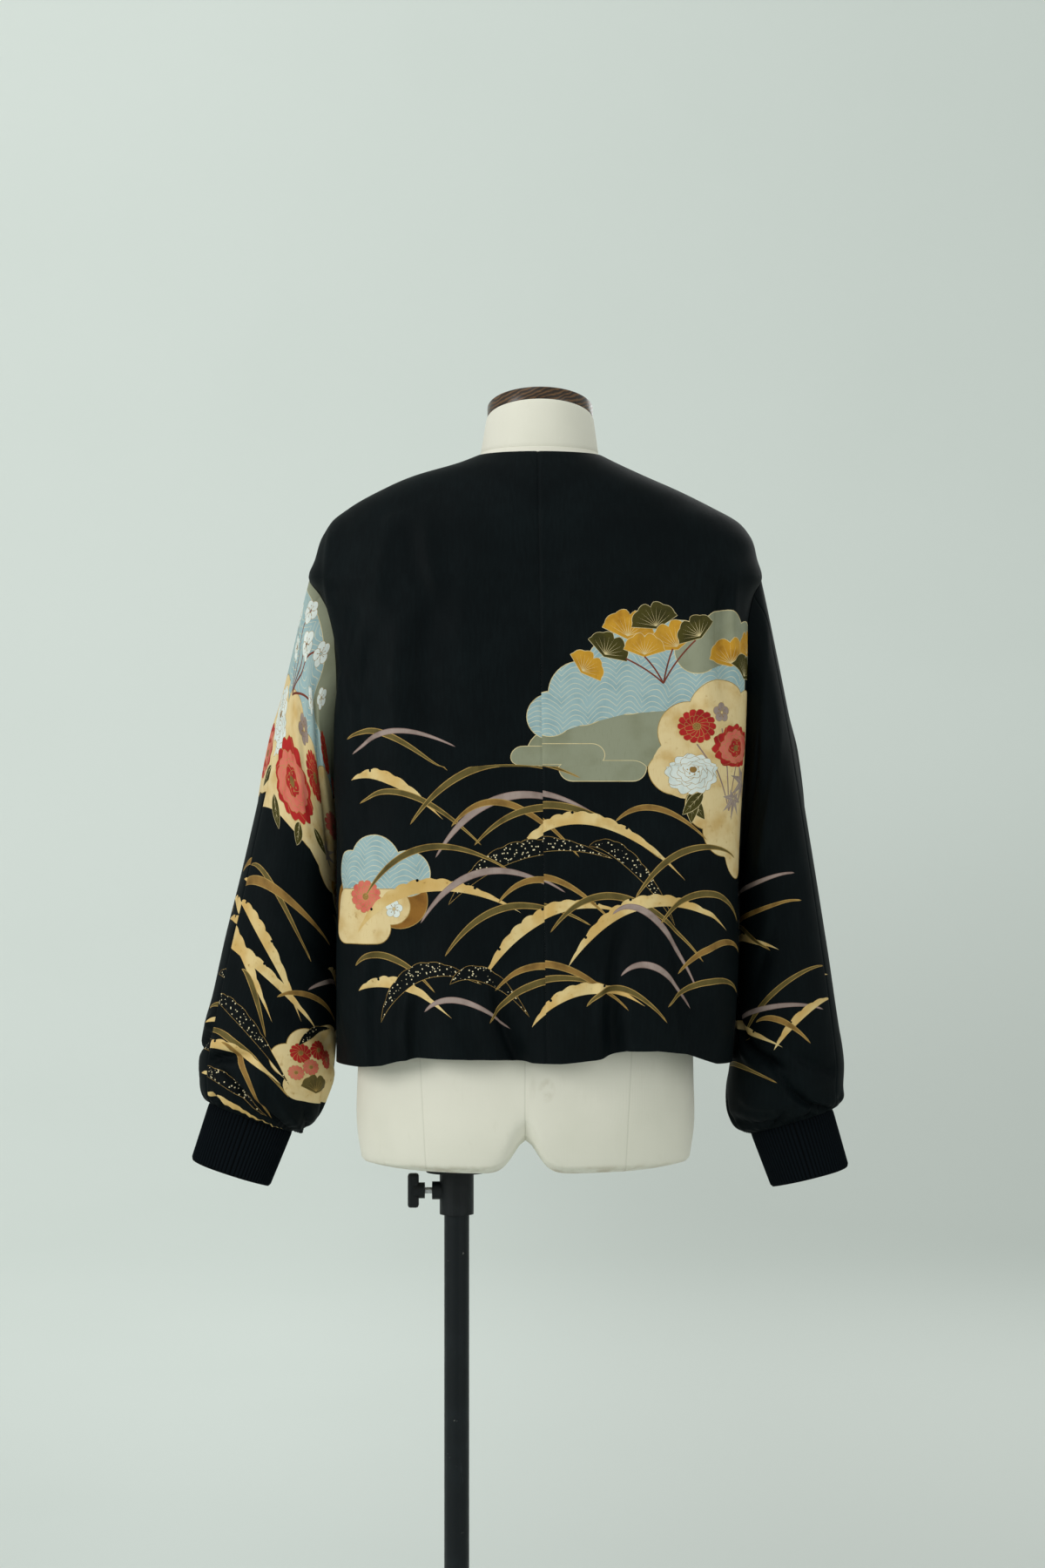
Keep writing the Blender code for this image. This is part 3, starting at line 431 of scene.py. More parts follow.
def sleeve_rings(side, table):
    """A whole sleeve as fine rings, from the armhole to the cuff."""
    angles = np.linspace(0, 2 * math.pi, SLEEVE_SAMPLES, endpoint=False)
    coarse = [armhole_ring(side, angles)]
    for ring in table[1:]:
        outer = np.array([side * ring.outer_x, -ring.forward, ring.outer_z]) * MM
        inner = np.array([side * ring.inner_x, -ring.forward, ring.inner_z]) * MM
        middle, half = (outer + inner) / 2, (outer - inner) / 2
        c, s = oval(angles, SLEEVE_SQUARE)
        depth = np.zeros((SLEEVE_SAMPLES, 3))
        depth[:, 1] = ring.depth * MM * s
        coarse.append(middle + half * c[:, None] + depth)
    coarse = np.array(coarse)
    places = np.linspace(0, len(coarse) - 1, SLEEVE_FINE_RINGS)
    side_line = smooth_rows(coarse, places)[:, SLEEVE_SAMPLES // 4]
    reach = line_reach(side_line)
    above_gathers = even_between(0, reach[-1] - GATHER_REACH, CLOTH_STEP)[:-1]
    near_cuff = even_between(reach[-1] - GATHER_REACH, reach[-1], CLOTH_STEP / 2)
    stops = np.concatenate([above_gathers, near_cuff])
    return smooth_rows(coarse, np.interp(stops, reach, places))


def sleeve_lines(side, table, face):
    """A sleeve half's rows as fine lines from the over-arm seam to the underarm."""
    rings = sleeve_rings(side, table)
    over = round(SLEEVE_SAMPLES * OVER_ARM_SHARE)
    half = SLEEVE_SAMPLES // 2
    if face > 0:
        picked = list(range(over, half + 1))
    else:
        picked = [c % SLEEVE_SAMPLES for c in range(SLEEVE_SAMPLES + over, half - 1, -1)]
    trim = SEAM_GAP / 2
    return [trimmed(ring[picked], trim, trim) for ring in rings]


def grid_normals(grid):
    """Unit normals of a grid of points, from its neighbours both ways."""
    normal = np.cross(np.gradient(grid, axis=1), np.gradient(grid, axis=0))
    return normal / np.maximum(np.linalg.norm(normal, axis=2, keepdims=True), 1e-12)


def ridge(x, z, crease):
    """The height of one crease over the cloth, dying out softly at its ends."""
    start = np.array([crease.x0, crease.z0]) * MM
    along = np.array([crease.x1, crease.z1]) * MM - start
    length = np.linalg.norm(along)
    dx, dz = x - start[0], z - start[1]
    t = (dx * along[0] + dz * along[1]) / length**2
    off = (dx * along[1] - dz * along[0]) / length
    bend = off + CREASE_BEND * length * np.sin(math.pi * np.clip(t, 0, 1))
    beyond = np.maximum(0, np.abs(t - 0.5) - CREASE_FULL_HALF)
    fade = np.exp(-(beyond / CREASE_DIE_OUT) ** 2)
    width = np.where(bend > 0, crease.width, crease.width * CREASE_STEEP_SIDE) * MM
    return crease.height * MM * fade * np.exp(-((bend / width) ** 2))


Piece = namedtuple("Piece", "name grid flat_u flat_v normal")


def lay_piece(name, lines, columns, creases, gathered=False, across=None):
    """A cloth piece as a grid of points on its shape, with its flat cut beside it."""
    grid, flat_u = [], []
    for line in lines:
        reach = line_reach(line)
        length = reach[-1]
        ends = min(1.0, length / SHORT_ROW)
        near = np.array(SEAM_STOPS) * ends
        middle = np.linspace(near[-1], length - near[-1], columns)[1:-1]
        stops = np.concatenate([near, middle, length - near[::-1]])
        grid.append(at_reach(line, reach, stops))
        flat_u.append(stops)
    grid, flat_u = np.array(grid), np.array(flat_u)
    steps = np.linalg.norm(np.diff(grid, axis=0), axis=2).mean(axis=1)
    flat_v = np.concatenate([[0], np.cumsum(steps)])
    normal = grid_normals(grid)
    middle = grid.reshape(-1, 3).mean(axis=0)
    if np.sum(normal * (grid - middle)) < 0:
        normal = -normal
    lift = np.zeros(grid.shape[:2])
    side_x, side_z = across(grid, flat_u, flat_v) if across else (grid[:, :, 0], grid[:, :, 2])
    for crease in creases:
        lift += ridge(side_x, side_z, crease)
    if gathered:
        lift += gathers(flat_u, flat_v)
    edge = np.minimum(flat_u, flat_u[:, -1:] - flat_u)
    fade = np.clip(edge / SEAM_FADE, 0, 1)
    end = np.minimum(flat_v, flat_v[-1] - flat_v)[:, None]
    fade = fade * np.clip(end / END_FADE, 0, 1) if gathered else fade
    lift = lift * fade * fade * (3 - 2 * fade)
    lift -= SEAM_DIP * np.exp(-((edge / SEAM_DIP_WIDTH) ** 2))
    grid = grid + normal * lift[:, :, None]
    normal = grid_normals(grid)
    if np.sum(normal * (grid - middle)) < 0:
        normal = -normal
    return Piece(name, grid, flat_u, flat_v, normal)


def gathers(flat_u, flat_v):
    """Small uneven gathers that die out above the cuff seam."""
    length = flat_v[-1]
    near = np.clip(1 - (length - flat_v) / GATHER_REACH, 0, 1)[:, None]
    share = flat_u / flat_u[:, -1:]
    phase = GATHERS * math.pi * share
    for size, rate in GATHER_SHIFTS:
        phase = phase + size * np.sin(rate * share)
    uneven = 1 - GATHER_SPREAD + GATHER_SPREAD * np.sin(GATHER_DRIFT * phase / 2)
    return GATHER_HEIGHT * near**1.5 * np.sin(phase) * uneven


def sleeve_across(sign):
    """Creases on a sleeve are placed round from the over-arm seam and down along it."""
    def place(grid, flat_u, flat_v):
        down = -flat_v[:, None] / SLEEVE_CUT_SHARE
        return sign * flat_u, np.repeat(down, flat_u.shape[1], axis=1)
    return place


# The print is a list of flat shapes in layers, each with the dye that fills it
Shape = namedtuple("Shape", "points dye")


def grown(points, by):
    """A closed outline moved outwards by a distance."""
    along = np.roll(points, -1, axis=0) - np.roll(points, 1, axis=0)
    along /= np.maximum(np.linalg.norm(along, axis=1, keepdims=True), 1e-9)
    out = np.stack([along[:, 1], -along[:, 0]], axis=1)
    return points + out * by * (1 if turn_of(points) > 0 else -1)


OUTLINE = 0.65


def outlined(points, dye, edge="gold_line", by=OUTLINE):
    """A shape over its own outline."""
    return [Shape(grown(points, by), edge), Shape(points, dye)]


Blade = namedtuple("Blade", "x0 z0 x1 z1 arch width kind")
BLADE_LEAN = 0.12
BLADE_ARCHING = 1.7
BLADE_STEP = 3.2
# A scalloped edge: the bumps' spacing and their depth as a share of the width
SCALLOPS = {"cream": (17, 0.22), "speckled": (21, 0.12)}
DOT_SPACING = 34
DOT_RADIUS = 1.5
DOT_INSET = 0.8


def blade_middle(blade, count):
    """Points along a blade's arching middle line, with the sideways direction at each."""
    start, end = np.array([blade.x0, blade.z0], float), np.array([blade.x1, blade.z1], float)
    t = np.linspace(0, 1, count)[:, None]
    lean = BLADE_LEAN * (end - start)
    top = (start + end) / 2 + np.array([0, blade.arch * BLADE_ARCHING]) - lean
    line = (1 - t) ** 2 * start + 2 * t * (1 - t) * top + t * t * end
    along = np.gradient(line, axis=0)
    along /= np.linalg.norm(along, axis=1, keepdims=True)
    side = np.stack([-along[:, 1], along[:, 0]], axis=1)
    return line, side * np.sign(end[0] - start[0])


def blade_shapes(blade):
    """An arching leaf blade in its own manner: scalloped, thin or speckled."""
    length = math.hypot(blade.x1 - blade.x0, blade.z1 - blade.z0) + blade.arch
    count = max(12, int(length / BLADE_STEP))
    line, side = blade_middle(blade, count)
    t = np.linspace(0, 1, count)
    profile = np.sin(math.pi * t**0.85) ** 1.1
    lower = line - side * (blade.width / 2 * profile)[:, None]
    if blade.kind in SCALLOPS:
        spacing, deep = SCALLOPS[blade.kind]
        bumps = np.abs(np.sin(t * length / spacing * math.pi)) ** 0.6
        swell = blade.width * (0.5 - deep * (0.5 - bumps)) * profile
    else:
        swell = blade.width / 2 * profile
    upper = line + side * swell[:, None]
    outline = np.concatenate([lower, upper[::-1][1:-1]])
    if blade.kind == "speckled":
        return outlined(outline, "gold_dust", "gold_line", 0.35)
    if blade.kind == "cream":
        shapes = [Shape(outline, "cream_gold")]
        step = max(3, int(DOT_SPACING / BLADE_STEP))
        for i in range(step, count - step, 2 * step):
            spot = upper[i] - side[i] * DOT_INSET
            shapes.append(Shape(disc(spot, DOT_RADIUS, 8), "silk_black"))
        return shapes
    edge = {"olive": "gold_line", "mauve": "mauve_line", "ochre": "gold_line"}[blade.kind]
    return outlined(outline, blade.kind + "_leaf", edge, 0.7)


def disc(at, radius, count=16):
    turns = np.linspace(0, 2 * math.pi, count, endpoint=False)
    return np.array(at) + radius * np.stack([np.cos(turns), np.sin(turns)], axis=1)


def turned(points, at, angle, size=1.0):
    """Points of a motif turned about its own origin, sized, and put in place."""
    c, s = math.cos(angle), math.sin(angle)
    return np.array(at) + size * points @ np.array([[c, s], [-s, c]])


def petal(length, width, tip=0.0, count=15):
    """A petal from the origin along +X, round or with a notched tip."""
    t = np.linspace(-1, 1, count)
    x = length * (1 - np.abs(t) ** 2.6)
    x = x - tip * length * np.exp(-((t / 0.16) ** 2))
    y = width / 2 * np.sin(math.pi * t * 0.5 * 1.22) * (1 - 0.18 * t * t)
    return np.stack([x, y], axis=1)


def daisy(at, radius, petals, dye, heart="ochre_leaf", rings=1, squash=1.0, turn=0.0):
    """A chrysanthemum: one or more rings of narrow petals round a dotted heart."""
    shapes = []
    for ring in range(rings):
        size = radius * (1 - 0.36 * ring)
        for i in range(petals):
            angle = turn + 2 * math.pi * (i + 0.5 * ring) / petals
            points = petal(size, 2 * size * math.sin(math.pi / petals) * 1.12, 0.0, 9)
            flat = turned(points, (0, 0), angle) * [1, squash]
            shapes += outlined(flat + np.array(at), dye, "gold_line", 0.4)
    middle = disc((0, 0), radius * 0.2, 12) * [1, squash]
    shapes += outlined(middle + np.array(at), heart, "gold_line", 0.4)
    for i in range(5):
        angle = i * 1.26
        toward = np.array([math.cos(angle), math.sin(angle) * squash])
        spot = np.array(at) + radius * 0.1 * toward
        shapes.append(Shape(disc(spot, radius * 0.028, 6), "gold_line"))
    return shapes


def full_bloom(at, radius, dyes, seed, squash=0.82, turn=0.0):
    """A large many-layered bloom of broad notched petals in two or three dyes."""
    rng = np.random.default_rng(seed)
    shapes = []
    for ring, (share, petals) in enumerate(((1.0, 9), (0.78, 8), (0.56, 7), (0.36, 5))):
        dye = dyes[ring % len(dyes)]
        for i in range(petals):
            angle = turn + 2 * math.pi * (i + 0.45 * ring) / petals + rng.uniform(-0.12, 0.12)
            size = radius * share * rng.uniform(0.9, 1.06)
            points = petal(size, 2.5 * size * math.sin(math.pi / petals), 0.13, 17)
            flat = turned(points, (0, 0), angle) * [1, squash]
            shapes += outlined(flat + np.array(at), dye, "gold_line", 0.42)
    middle = disc((0, 0), radius * 0.13, 12) * [1, squash]
    shapes.append(Shape(middle + np.array(at), "ochre_leaf"))
    for i in range(7):
        angle = 2 * math.pi * i / 7
        toward = np.array([math.cos(angle), math.sin(angle) * squash])
        spot = np.array(at) + radius * 0.2 * toward
        shapes.append(Shape(disc(spot, radius * 0.03, 6), "gold_line"))
    return shapes


def plum(at, radius, dye="white_petal", turn=0.0):
    """A plum blossom of five round petals with fine stamens."""
    shapes = []
    for i in range(5):
        angle = turn + 2 * math.pi * i / 5
        middle = np.array(at) + radius * 0.56 * np.array([math.cos(angle), math.sin(angle)])
        shapes += outlined(disc(middle, radius * 0.42, 14), dye, "gold_line", 0.35)
    for i in range(7):
        angle = turn + 2 * math.pi * (i + 0.5) / 7
        tip = np.array([math.cos(angle), math.sin(angle)])
        across = np.array([-tip[1], tip[0]])
        start, end = np.array(at) + tip * radius * 0.1, np.array(at) + tip * radius * 0.46
        shapes.append(Shape(np.array([start - across * 0.2, start + across * 0.2,
                                      end + across * 0.2, end - across * 0.2]), "gold_line"))
        shapes.append(Shape(disc(end, radius * 0.05, 6), "ochre_leaf"))
    return shapes


def maple(at, radius, dye, turn=0.0, edge="gold_line"):
    """A seven-pointed maple leaf with a vein in each point."""
    spread = [-2.3, -1.5, -0.75, 0.0, 0.75, 1.5, 2.3]
    reach = [0.5, 0.78, 0.95, 1.0, 0.95, 0.78, 0.5]
    points = [[-0.12, 0.0]]
    for i, (angle, far) in enumerate(zip(spread, reach)):
        points.append([far * math.cos(angle), far * math.sin(angle)])
        if i < 6:
            middle = (angle + spread[i + 1]) / 2
            points.append([0.34 * math.cos(middle), 0.34 * math.sin(middle)])
    outline = turned(np.array(points) * radius, at, turn)
    shapes = outlined(outline, dye, edge, 0.4)
    for angle, far in zip(spread, reach):
        shapes.append(vein(at, turn + angle, radius * far * 0.8, edge))
    return shapes


def vein(at, angle, length, dye, width=0.36):
    """A fine straight line from a point, narrowing to its tip."""
    tip = np.array([math.cos(angle), math.sin(angle)])
    across = np.array([-tip[1], tip[0]]) * width / 2
    start, end = np.array(at, float), np.array(at) + tip * length
    return Shape(np.array([start - across, end, start + across]), dye)


def fan_leaf(at, radius, dye, turn=math.pi / 2, veins=9, edge="cream_line", wide=1.35):
    """A fan-shaped leaf with a scalloped rim and veins that open from its stalk."""
    angles = np.linspace(-wide, wide, 33)
    scallops = 0.07 * np.abs(np.sin(angles * 5.2))
    rim = radius * (1 + scallops - 0.16 * np.exp(-((angles / 0.1) ** 2)))
    points = np.stack([rim * np.cos(angles), rim * np.sin(angles)], axis=1)
    outline = turned(np.concatenate([points, [[-0.12 * radius, 0]]]), at, turn)
    shapes = outlined(outline, dye, edge, 0.45)
    for angle in np.linspace(-wide * 0.84, wide * 0.84, veins):
        shapes.append(vein(at, turn + angle, radius * 0.86, edge, 0.5))
    return shapes


def leaf(at, length, width, turn, dye="deep_olive", edge="cream_line"):
    """A pointed leaf with a middle vein and side veins."""
    t = np.linspace(0, 1, 10)
    half = width / 2 * np.sin(math.pi * t**0.8) ** 0.9
    points = np.concatenate([np.stack([t * length, -half], axis=1),
                             np.stack([t * length, half], axis=1)[::-1][1:-1]])
    shapes = outlined(turned(points, at, turn), dye, edge, 0.4)
    shapes.append(vein(at, turn, length * 0.93, edge, 0.6))
    for share in (0.2, 0.4, 0.6):
        start = np.array(at) + share * length * np.array([math.cos(turn), math.sin(turn)])
        reach = width * 0.44 * math.sin(math.pi * share**0.8)
        for side in (0.55, -0.55):
            shapes.append(vein(start, turn + side, reach, edge))
    return shapes


def cloud(at, lobes, dye, edge="cream_line"):
    """A drifting cloud made of round lobes: each has a place and a radius."""
    at = np.array(at, float)
    shapes = [Shape(disc(at + [x, z], r + 0.7, 40), edge) for x, z, r in lobes]
    shapes += [Shape(disc(at + [x, z], r, 40), dye) for x, z, r in lobes]
    for (x0, z0, r0), (x1, z1, r1) in zip(lobes[:-1], lobes[1:]):
        between = [[x0, z0], [x1, z1], [x1, z1 - r1 * 0.99], [x0, z0 - r0 * 0.99]]
        shapes.append(Shape(at + np.array(between), dye))
    return shapes


def mist(at, bars, dye, edge="cream_line"):
    """Level bands of mist with round ends: each has a start, an end, a height and a depth."""
    at = np.array(at, float)
    shapes, fills = [], []
    for x0, x1, z, depth in bars:
        r = depth / 2
        turns = np.linspace(-math.pi / 2, math.pi / 2, 14)
        right = np.stack([x1 - r + r * np.cos(turns), z + r * np.sin(turns)], axis=1)
        left = np.stack([x0 + r - r * np.cos(turns), z - r * np.sin(turns)], axis=1)
        band = np.concatenate([right, left]) + at
        shapes.append(Shape(grown(band, 0.7), edge))
        fills.append(Shape(band, dye))
    return shapes + fills


def stems(at, ends, dye="mauve_line", width=1.2):
    """Bent stalks from one point to several."""
    shapes = []
    for x, z in ends:
        blade = Blade(at[0], at[1], x, z, 0.1 * abs(z - at[1]), width, "mauve")
        line, side = blade_middle(blade, 10)
        points = np.concatenate([line - side * width / 2, (line + side * width / 2)[::-1]])
        shapes.append(Shape(points, dye))
    return shapes


# The back's print: distances from the centre seam (to the wearer's left) and heights
BACK_BLADES = [Blade(*row) for row in (
    (196, 1128, 92, 1088, 26, 5.0, "olive"), (190, 1112, 84, 1120, 24, 4.2, "mauve"),
    (192, 1078, 96, 1040, 22, 10.5, "cream"), (182, 1056, 60, 1016, 30, 4.6, "olive"),
    (128, 1036, -36, 1078, 44, 6.0, "olive"), (104, 1004, -54, 1040, 50, 6.6, "mauve"),
    (88, 1034, -34, 1002, 42, 5.2, "ochre"), (66, 1016, -112, 1000, 50, 5.8, "olive"),
    (34, 998, -138, 978, 58, 11.5, "cream"), (92, 958, -66, 1000, 40, 17.0, "speckled"),
    (-44, 1012, -128, 934, 26, 14.0, "speckled"), (-70, 1036, -160, 1018, 24, 4.6, "ochre"),
    (-88, 962, -204, 1000, 34, 5.4, "olive"), (176, 966, 34, 992, 42, 5.4, "olive"),
    (188, 930, 22, 950, 44, 12.5, "cream"), (120, 940, -20, 968, 44, 5.6, "mauve"),
    (96, 908, -44, 936, 42, 5.6, "olive"), (60, 884, -78, 946, 44, 12.0, "cream"),
    (44, 960, -64, 940, 36, 5.0, "ochre"), (-6, 930, -156, 900, 54, 5.8, "olive"),
    (-22, 896, -190, 930, 54, 12.5, "cream"), (-66, 946, -150, 874, 34, 5.4, "mauve"),
    (-112, 936, -220, 938, 34, 5.4, "olive"), (-132, 886, -232, 908, 26, 5.2, "ochre"),
    (192, 900, 108, 872, 24, 5.2, "olive"), (190, 876, 92, 846, 22, 10.5, "cream"),
    (168, 846, 62, 880, 36, 16.0, "speckled"), (92, 880, 16, 850, 26, 14.0, "speckled"),
    (120, 852, 36, 836, 22, 4.8, "mauve"), (56, 842, -66, 872, 34, 5.4, "olive"),
    (48, 874, -82, 848, 42, 5.6, "ochre"), (14, 840, -98, 852, 34, 11.0, "cream"),
    (-40, 858, -120, 836, 26, 5.0, "olive"), (-74, 884, -146, 852, 26, 5.4, "mauve"),
    (-120, 852, -230, 870, 26, 4.8, "olive"),
)]


def back_print():
    """Grass over the lower half, and drifting clouds with blossoms at the right."""
    shapes = []
    shapes += mist((-52, 1148), [(-96, 66, -34, 44), (-128, 30, 2, 50)], "sage")
    shapes += cloud((-86, 1168),
                    [(78, -18, 22), (48, 2, 31), (4, 22, 40), (-48, 30, 44), (-96, 8, 30)],
                    "water_blue")
    shapes += mist((-80, 1146), [(20, 110, -38, 24), (-20, 64, -58, 26)], "sage")
    shapes += cloud((-178, 1212), [(26, 0, 22), (-4, 14, 27), (-38, 4, 26)], "sage")
    for x, z, r, turn, dye in (
        (-84, 1226, 25, 1.7, "ochre_gold"), (-62, 1208, 21, 2.1, "deep_olive"),
        (-112, 1236, 23, 1.3, "deep_olive"), (-132, 1216, 25, 1.2, "ochre_gold"),
        (-100, 1208, 20, 1.6, "ochre_gold"), (-154, 1226, 20, 1.0, "deep_olive"),
        (-188, 1200, 24, 1.5, "ochre_gold"), (-208, 1188, 22, 1.9, "deep_olive"),
        (-222, 1210, 22, 1.4, "ochre_gold"), (-40, 1192, 19, 2.3, "ochre_gold"),
    ):
        shapes += fan_leaf((x, z), r, dye, turn)
    shapes += stems((-118, 1180), [(-100, 1206), (-128, 1214), (-150, 1222), (-82, 1204)],
                    "red_brown", 1.6)
    shapes += cloud((-172, 1098),
                    [(44, -10, 26), (30, 34, 30), (-4, 52, 34), (-44, 44, 32), (-60, 4, 30),
                                   (-56, -44, 30)], "cream_paper", "gold_line")
    shapes += mist((-172, 1098), [(-94, 66, -4, 72), (-96, 30, -36, 50)], "cream_paper",
                   "cream_paper")
    shapes += cloud((-196, 1030), [(34, 22, 24), (14, -2, 26), (-16, -22, 28)], "cream_paper",
                    "gold_line")
    shapes += mist((-196, 1030), [(-60, 44, 34, 60), (-60, 24, 6, 50)], "cream_paper",
                   "cream_paper")
    shapes += stems((-188, 1046), [(-150, 1120), (-176, 1136), (-206, 1120), (-222, 1090)],
                    "mauve_line", 1.5)
    shapes += maple((-214, 1074), 27, "mauve_leaf", -0.5, "cream_line")
    shapes += maple((-196, 1058), 22, "mauve_leaf", -1.4, "cream_line")
    for x, z, length, width, turn in ((-140, 1062, 30, 13, -2.2), (-146, 1066, 32, 13, -1.5),
                                      (-156, 1064, 30, 12, -0.8), (-128, 1076, 28, 12, 2.6)):
        shapes += leaf((x, z), length, width, turn)
    shapes += full_bloom((-146, 1086), 29, ["white_petal"], 3, 0.86, 0.4)
    shapes += full_bloom((-196, 1116), 31, ["red_petal", "coral_petal", "coral_petal"], 5, 0.86,
                         0.1)
    shapes += daisy((-150, 1138), 19, 14, "red_petal", "ochre_leaf", 2, 0.9)
    shapes += plum((-176, 1152), 10, "mauve_leaf", 0.3)
    shapes += cloud((152, 962), [(50, -8, 26), (22, 10, 30), (-12, 0, 27)], "brown_gold",
                    "gold_line")
    shapes += cloud((150, 986), [(44, 2, 22), (16, 12, 27), (-18, 2, 22)], "water_blue")
    shapes += mist((160, 962), [(-30, 60, -6, 34), (-10, 60, -26, 30)], "cream_paper",
                   "gold_line")
    shapes += daisy((176, 966), 17, 12, "coral_petal", "ochre_leaf", 2, 0.92, 0.2)
    shapes += plum((146, 954), 9, "white_petal", 0.5)
    return shapes + grass_print(BACK_BLADES)


# The sleeves' print: distances round from the over-arm seam and heights below the armhole
LEFT_SLEEVE_BLADES = [Blade(*row) for row in (
    (4, -252, 92, -318, 26, 5.4, "olive"), (-18, -286, 122, -290, 34, 9.0, "ochre"),
    (-6, -292, 96, -392, 30, 12.5, "cream"), (-30, -318, 66, -402, 28, 12.0, "cream"),
    (-26, -340, 120, -400, 26, 12.0, "cream"), (24, -356, 62, -420, 14, 5.0, "olive"),
    (128, -250, 176, -330, 22, 5.4, "olive"), (66, -372, 150, -384, 22, 5.4, "ochre"),
    (96, -352, 168, -346, 18, 5.2, "mauve"), (-14, -400, 92, -468, 28, 16.0, "speckled"),
    (96, -420, 136, -392, 10, 10.0, "speckled"), (-18, -440, 92, -482, 28, 5.4, "olive"),
    (-10, -456, 84, -470, 22, 10.5, "cream"), (20, -440, 70, -520, 20, 5.4, "ochre"),
    (-18, -486, 66, -518, 22, 15.0, "speckled"), (-10, -514, 76, -540, 14, 10.0, "cream"),
    (-120, -290, -20, -332, 26, 5.4, "olive"), (-150, -342, -40, -390, 32, 12.0, "cream"),
    (-160, -400, -56, -426, 28, 5.2, "mauve"), (-140, -446, -40, -484, 26, 11.0, "cream"),
    (-120, -500, -30, -520, 18, 5.2, "olive"), (-210, -330, -130, -370, 24, 5.4, "ochre"),
    (-220, -410, -130, -450, 26, 11.0, "cream"), (120, -320, 186, -400, 24, 10.0, "cream"),
)]
RIGHT_SLEEVE_BLADES = [Blade(*row) for row in (
    (166, -226, 32, -244, 26, 5.2, "mauve"), (168, -268, 26, -276, 28, 5.4, "ochre"),
    (160, -290, 58, -312, 30, 9.0, "cream"), (148, -262, 70, -306, 20, 4.6, "olive"),
    (112, -402, 4, -354, 30, 5.4, "olive"), (140, -388, 14, -398, 26, 5.2, "mauve"),
    (168, -392, 62, -424, 26, 9.5, "cream"), (72, -424, -6, -392, 20, 9.5, "cream"),
    (90, -384, 34, -428, 16, 5.0, "ochre"), (160, -440, 70, -462, 20, 5.0, "olive"),
    (-40, -262, -150, -300, 28, 5.4, "olive"), (-30, -372, -140, -410, 30, 10.0, "cream"),
    (-24, -404, -120, -380, 26, 5.2, "mauve"), (-60, -450, -160, -470, 22, 5.2, "ochre"),
)]
FRONT_BLADES = [Blade(*row) for row in (
    (184, 1010, 60, 1050, 40, 5.4, "olive"), (196, 966, 40, 980, 46, 11.5, "cream"),
    (170, 930, 30, 952, 40, 5.4, "mauve"), (150, 894, 16, 916, 40, 5.4, "ochre"),
    (190, 880, 60, 862, 38, 11.5, "cream"), (120, 852, 14, 862, 30, 5.4, "olive"),
    (-190, 1000, -70, 1036, 38, 5.4, "olive"), (-200, 958, -48, 962, 46, 11.5, "cream"),
    (-150, 920, -20, 944, 40, 5.4, "mauve"), (-196, 902, -70, 884, 36, 15.0, "speckled"),
    (-160, 868, -30, 880, 36, 11.5, "cream"), (-110, 846, -14, 862, 28, 5.4, "ochre"),
)]


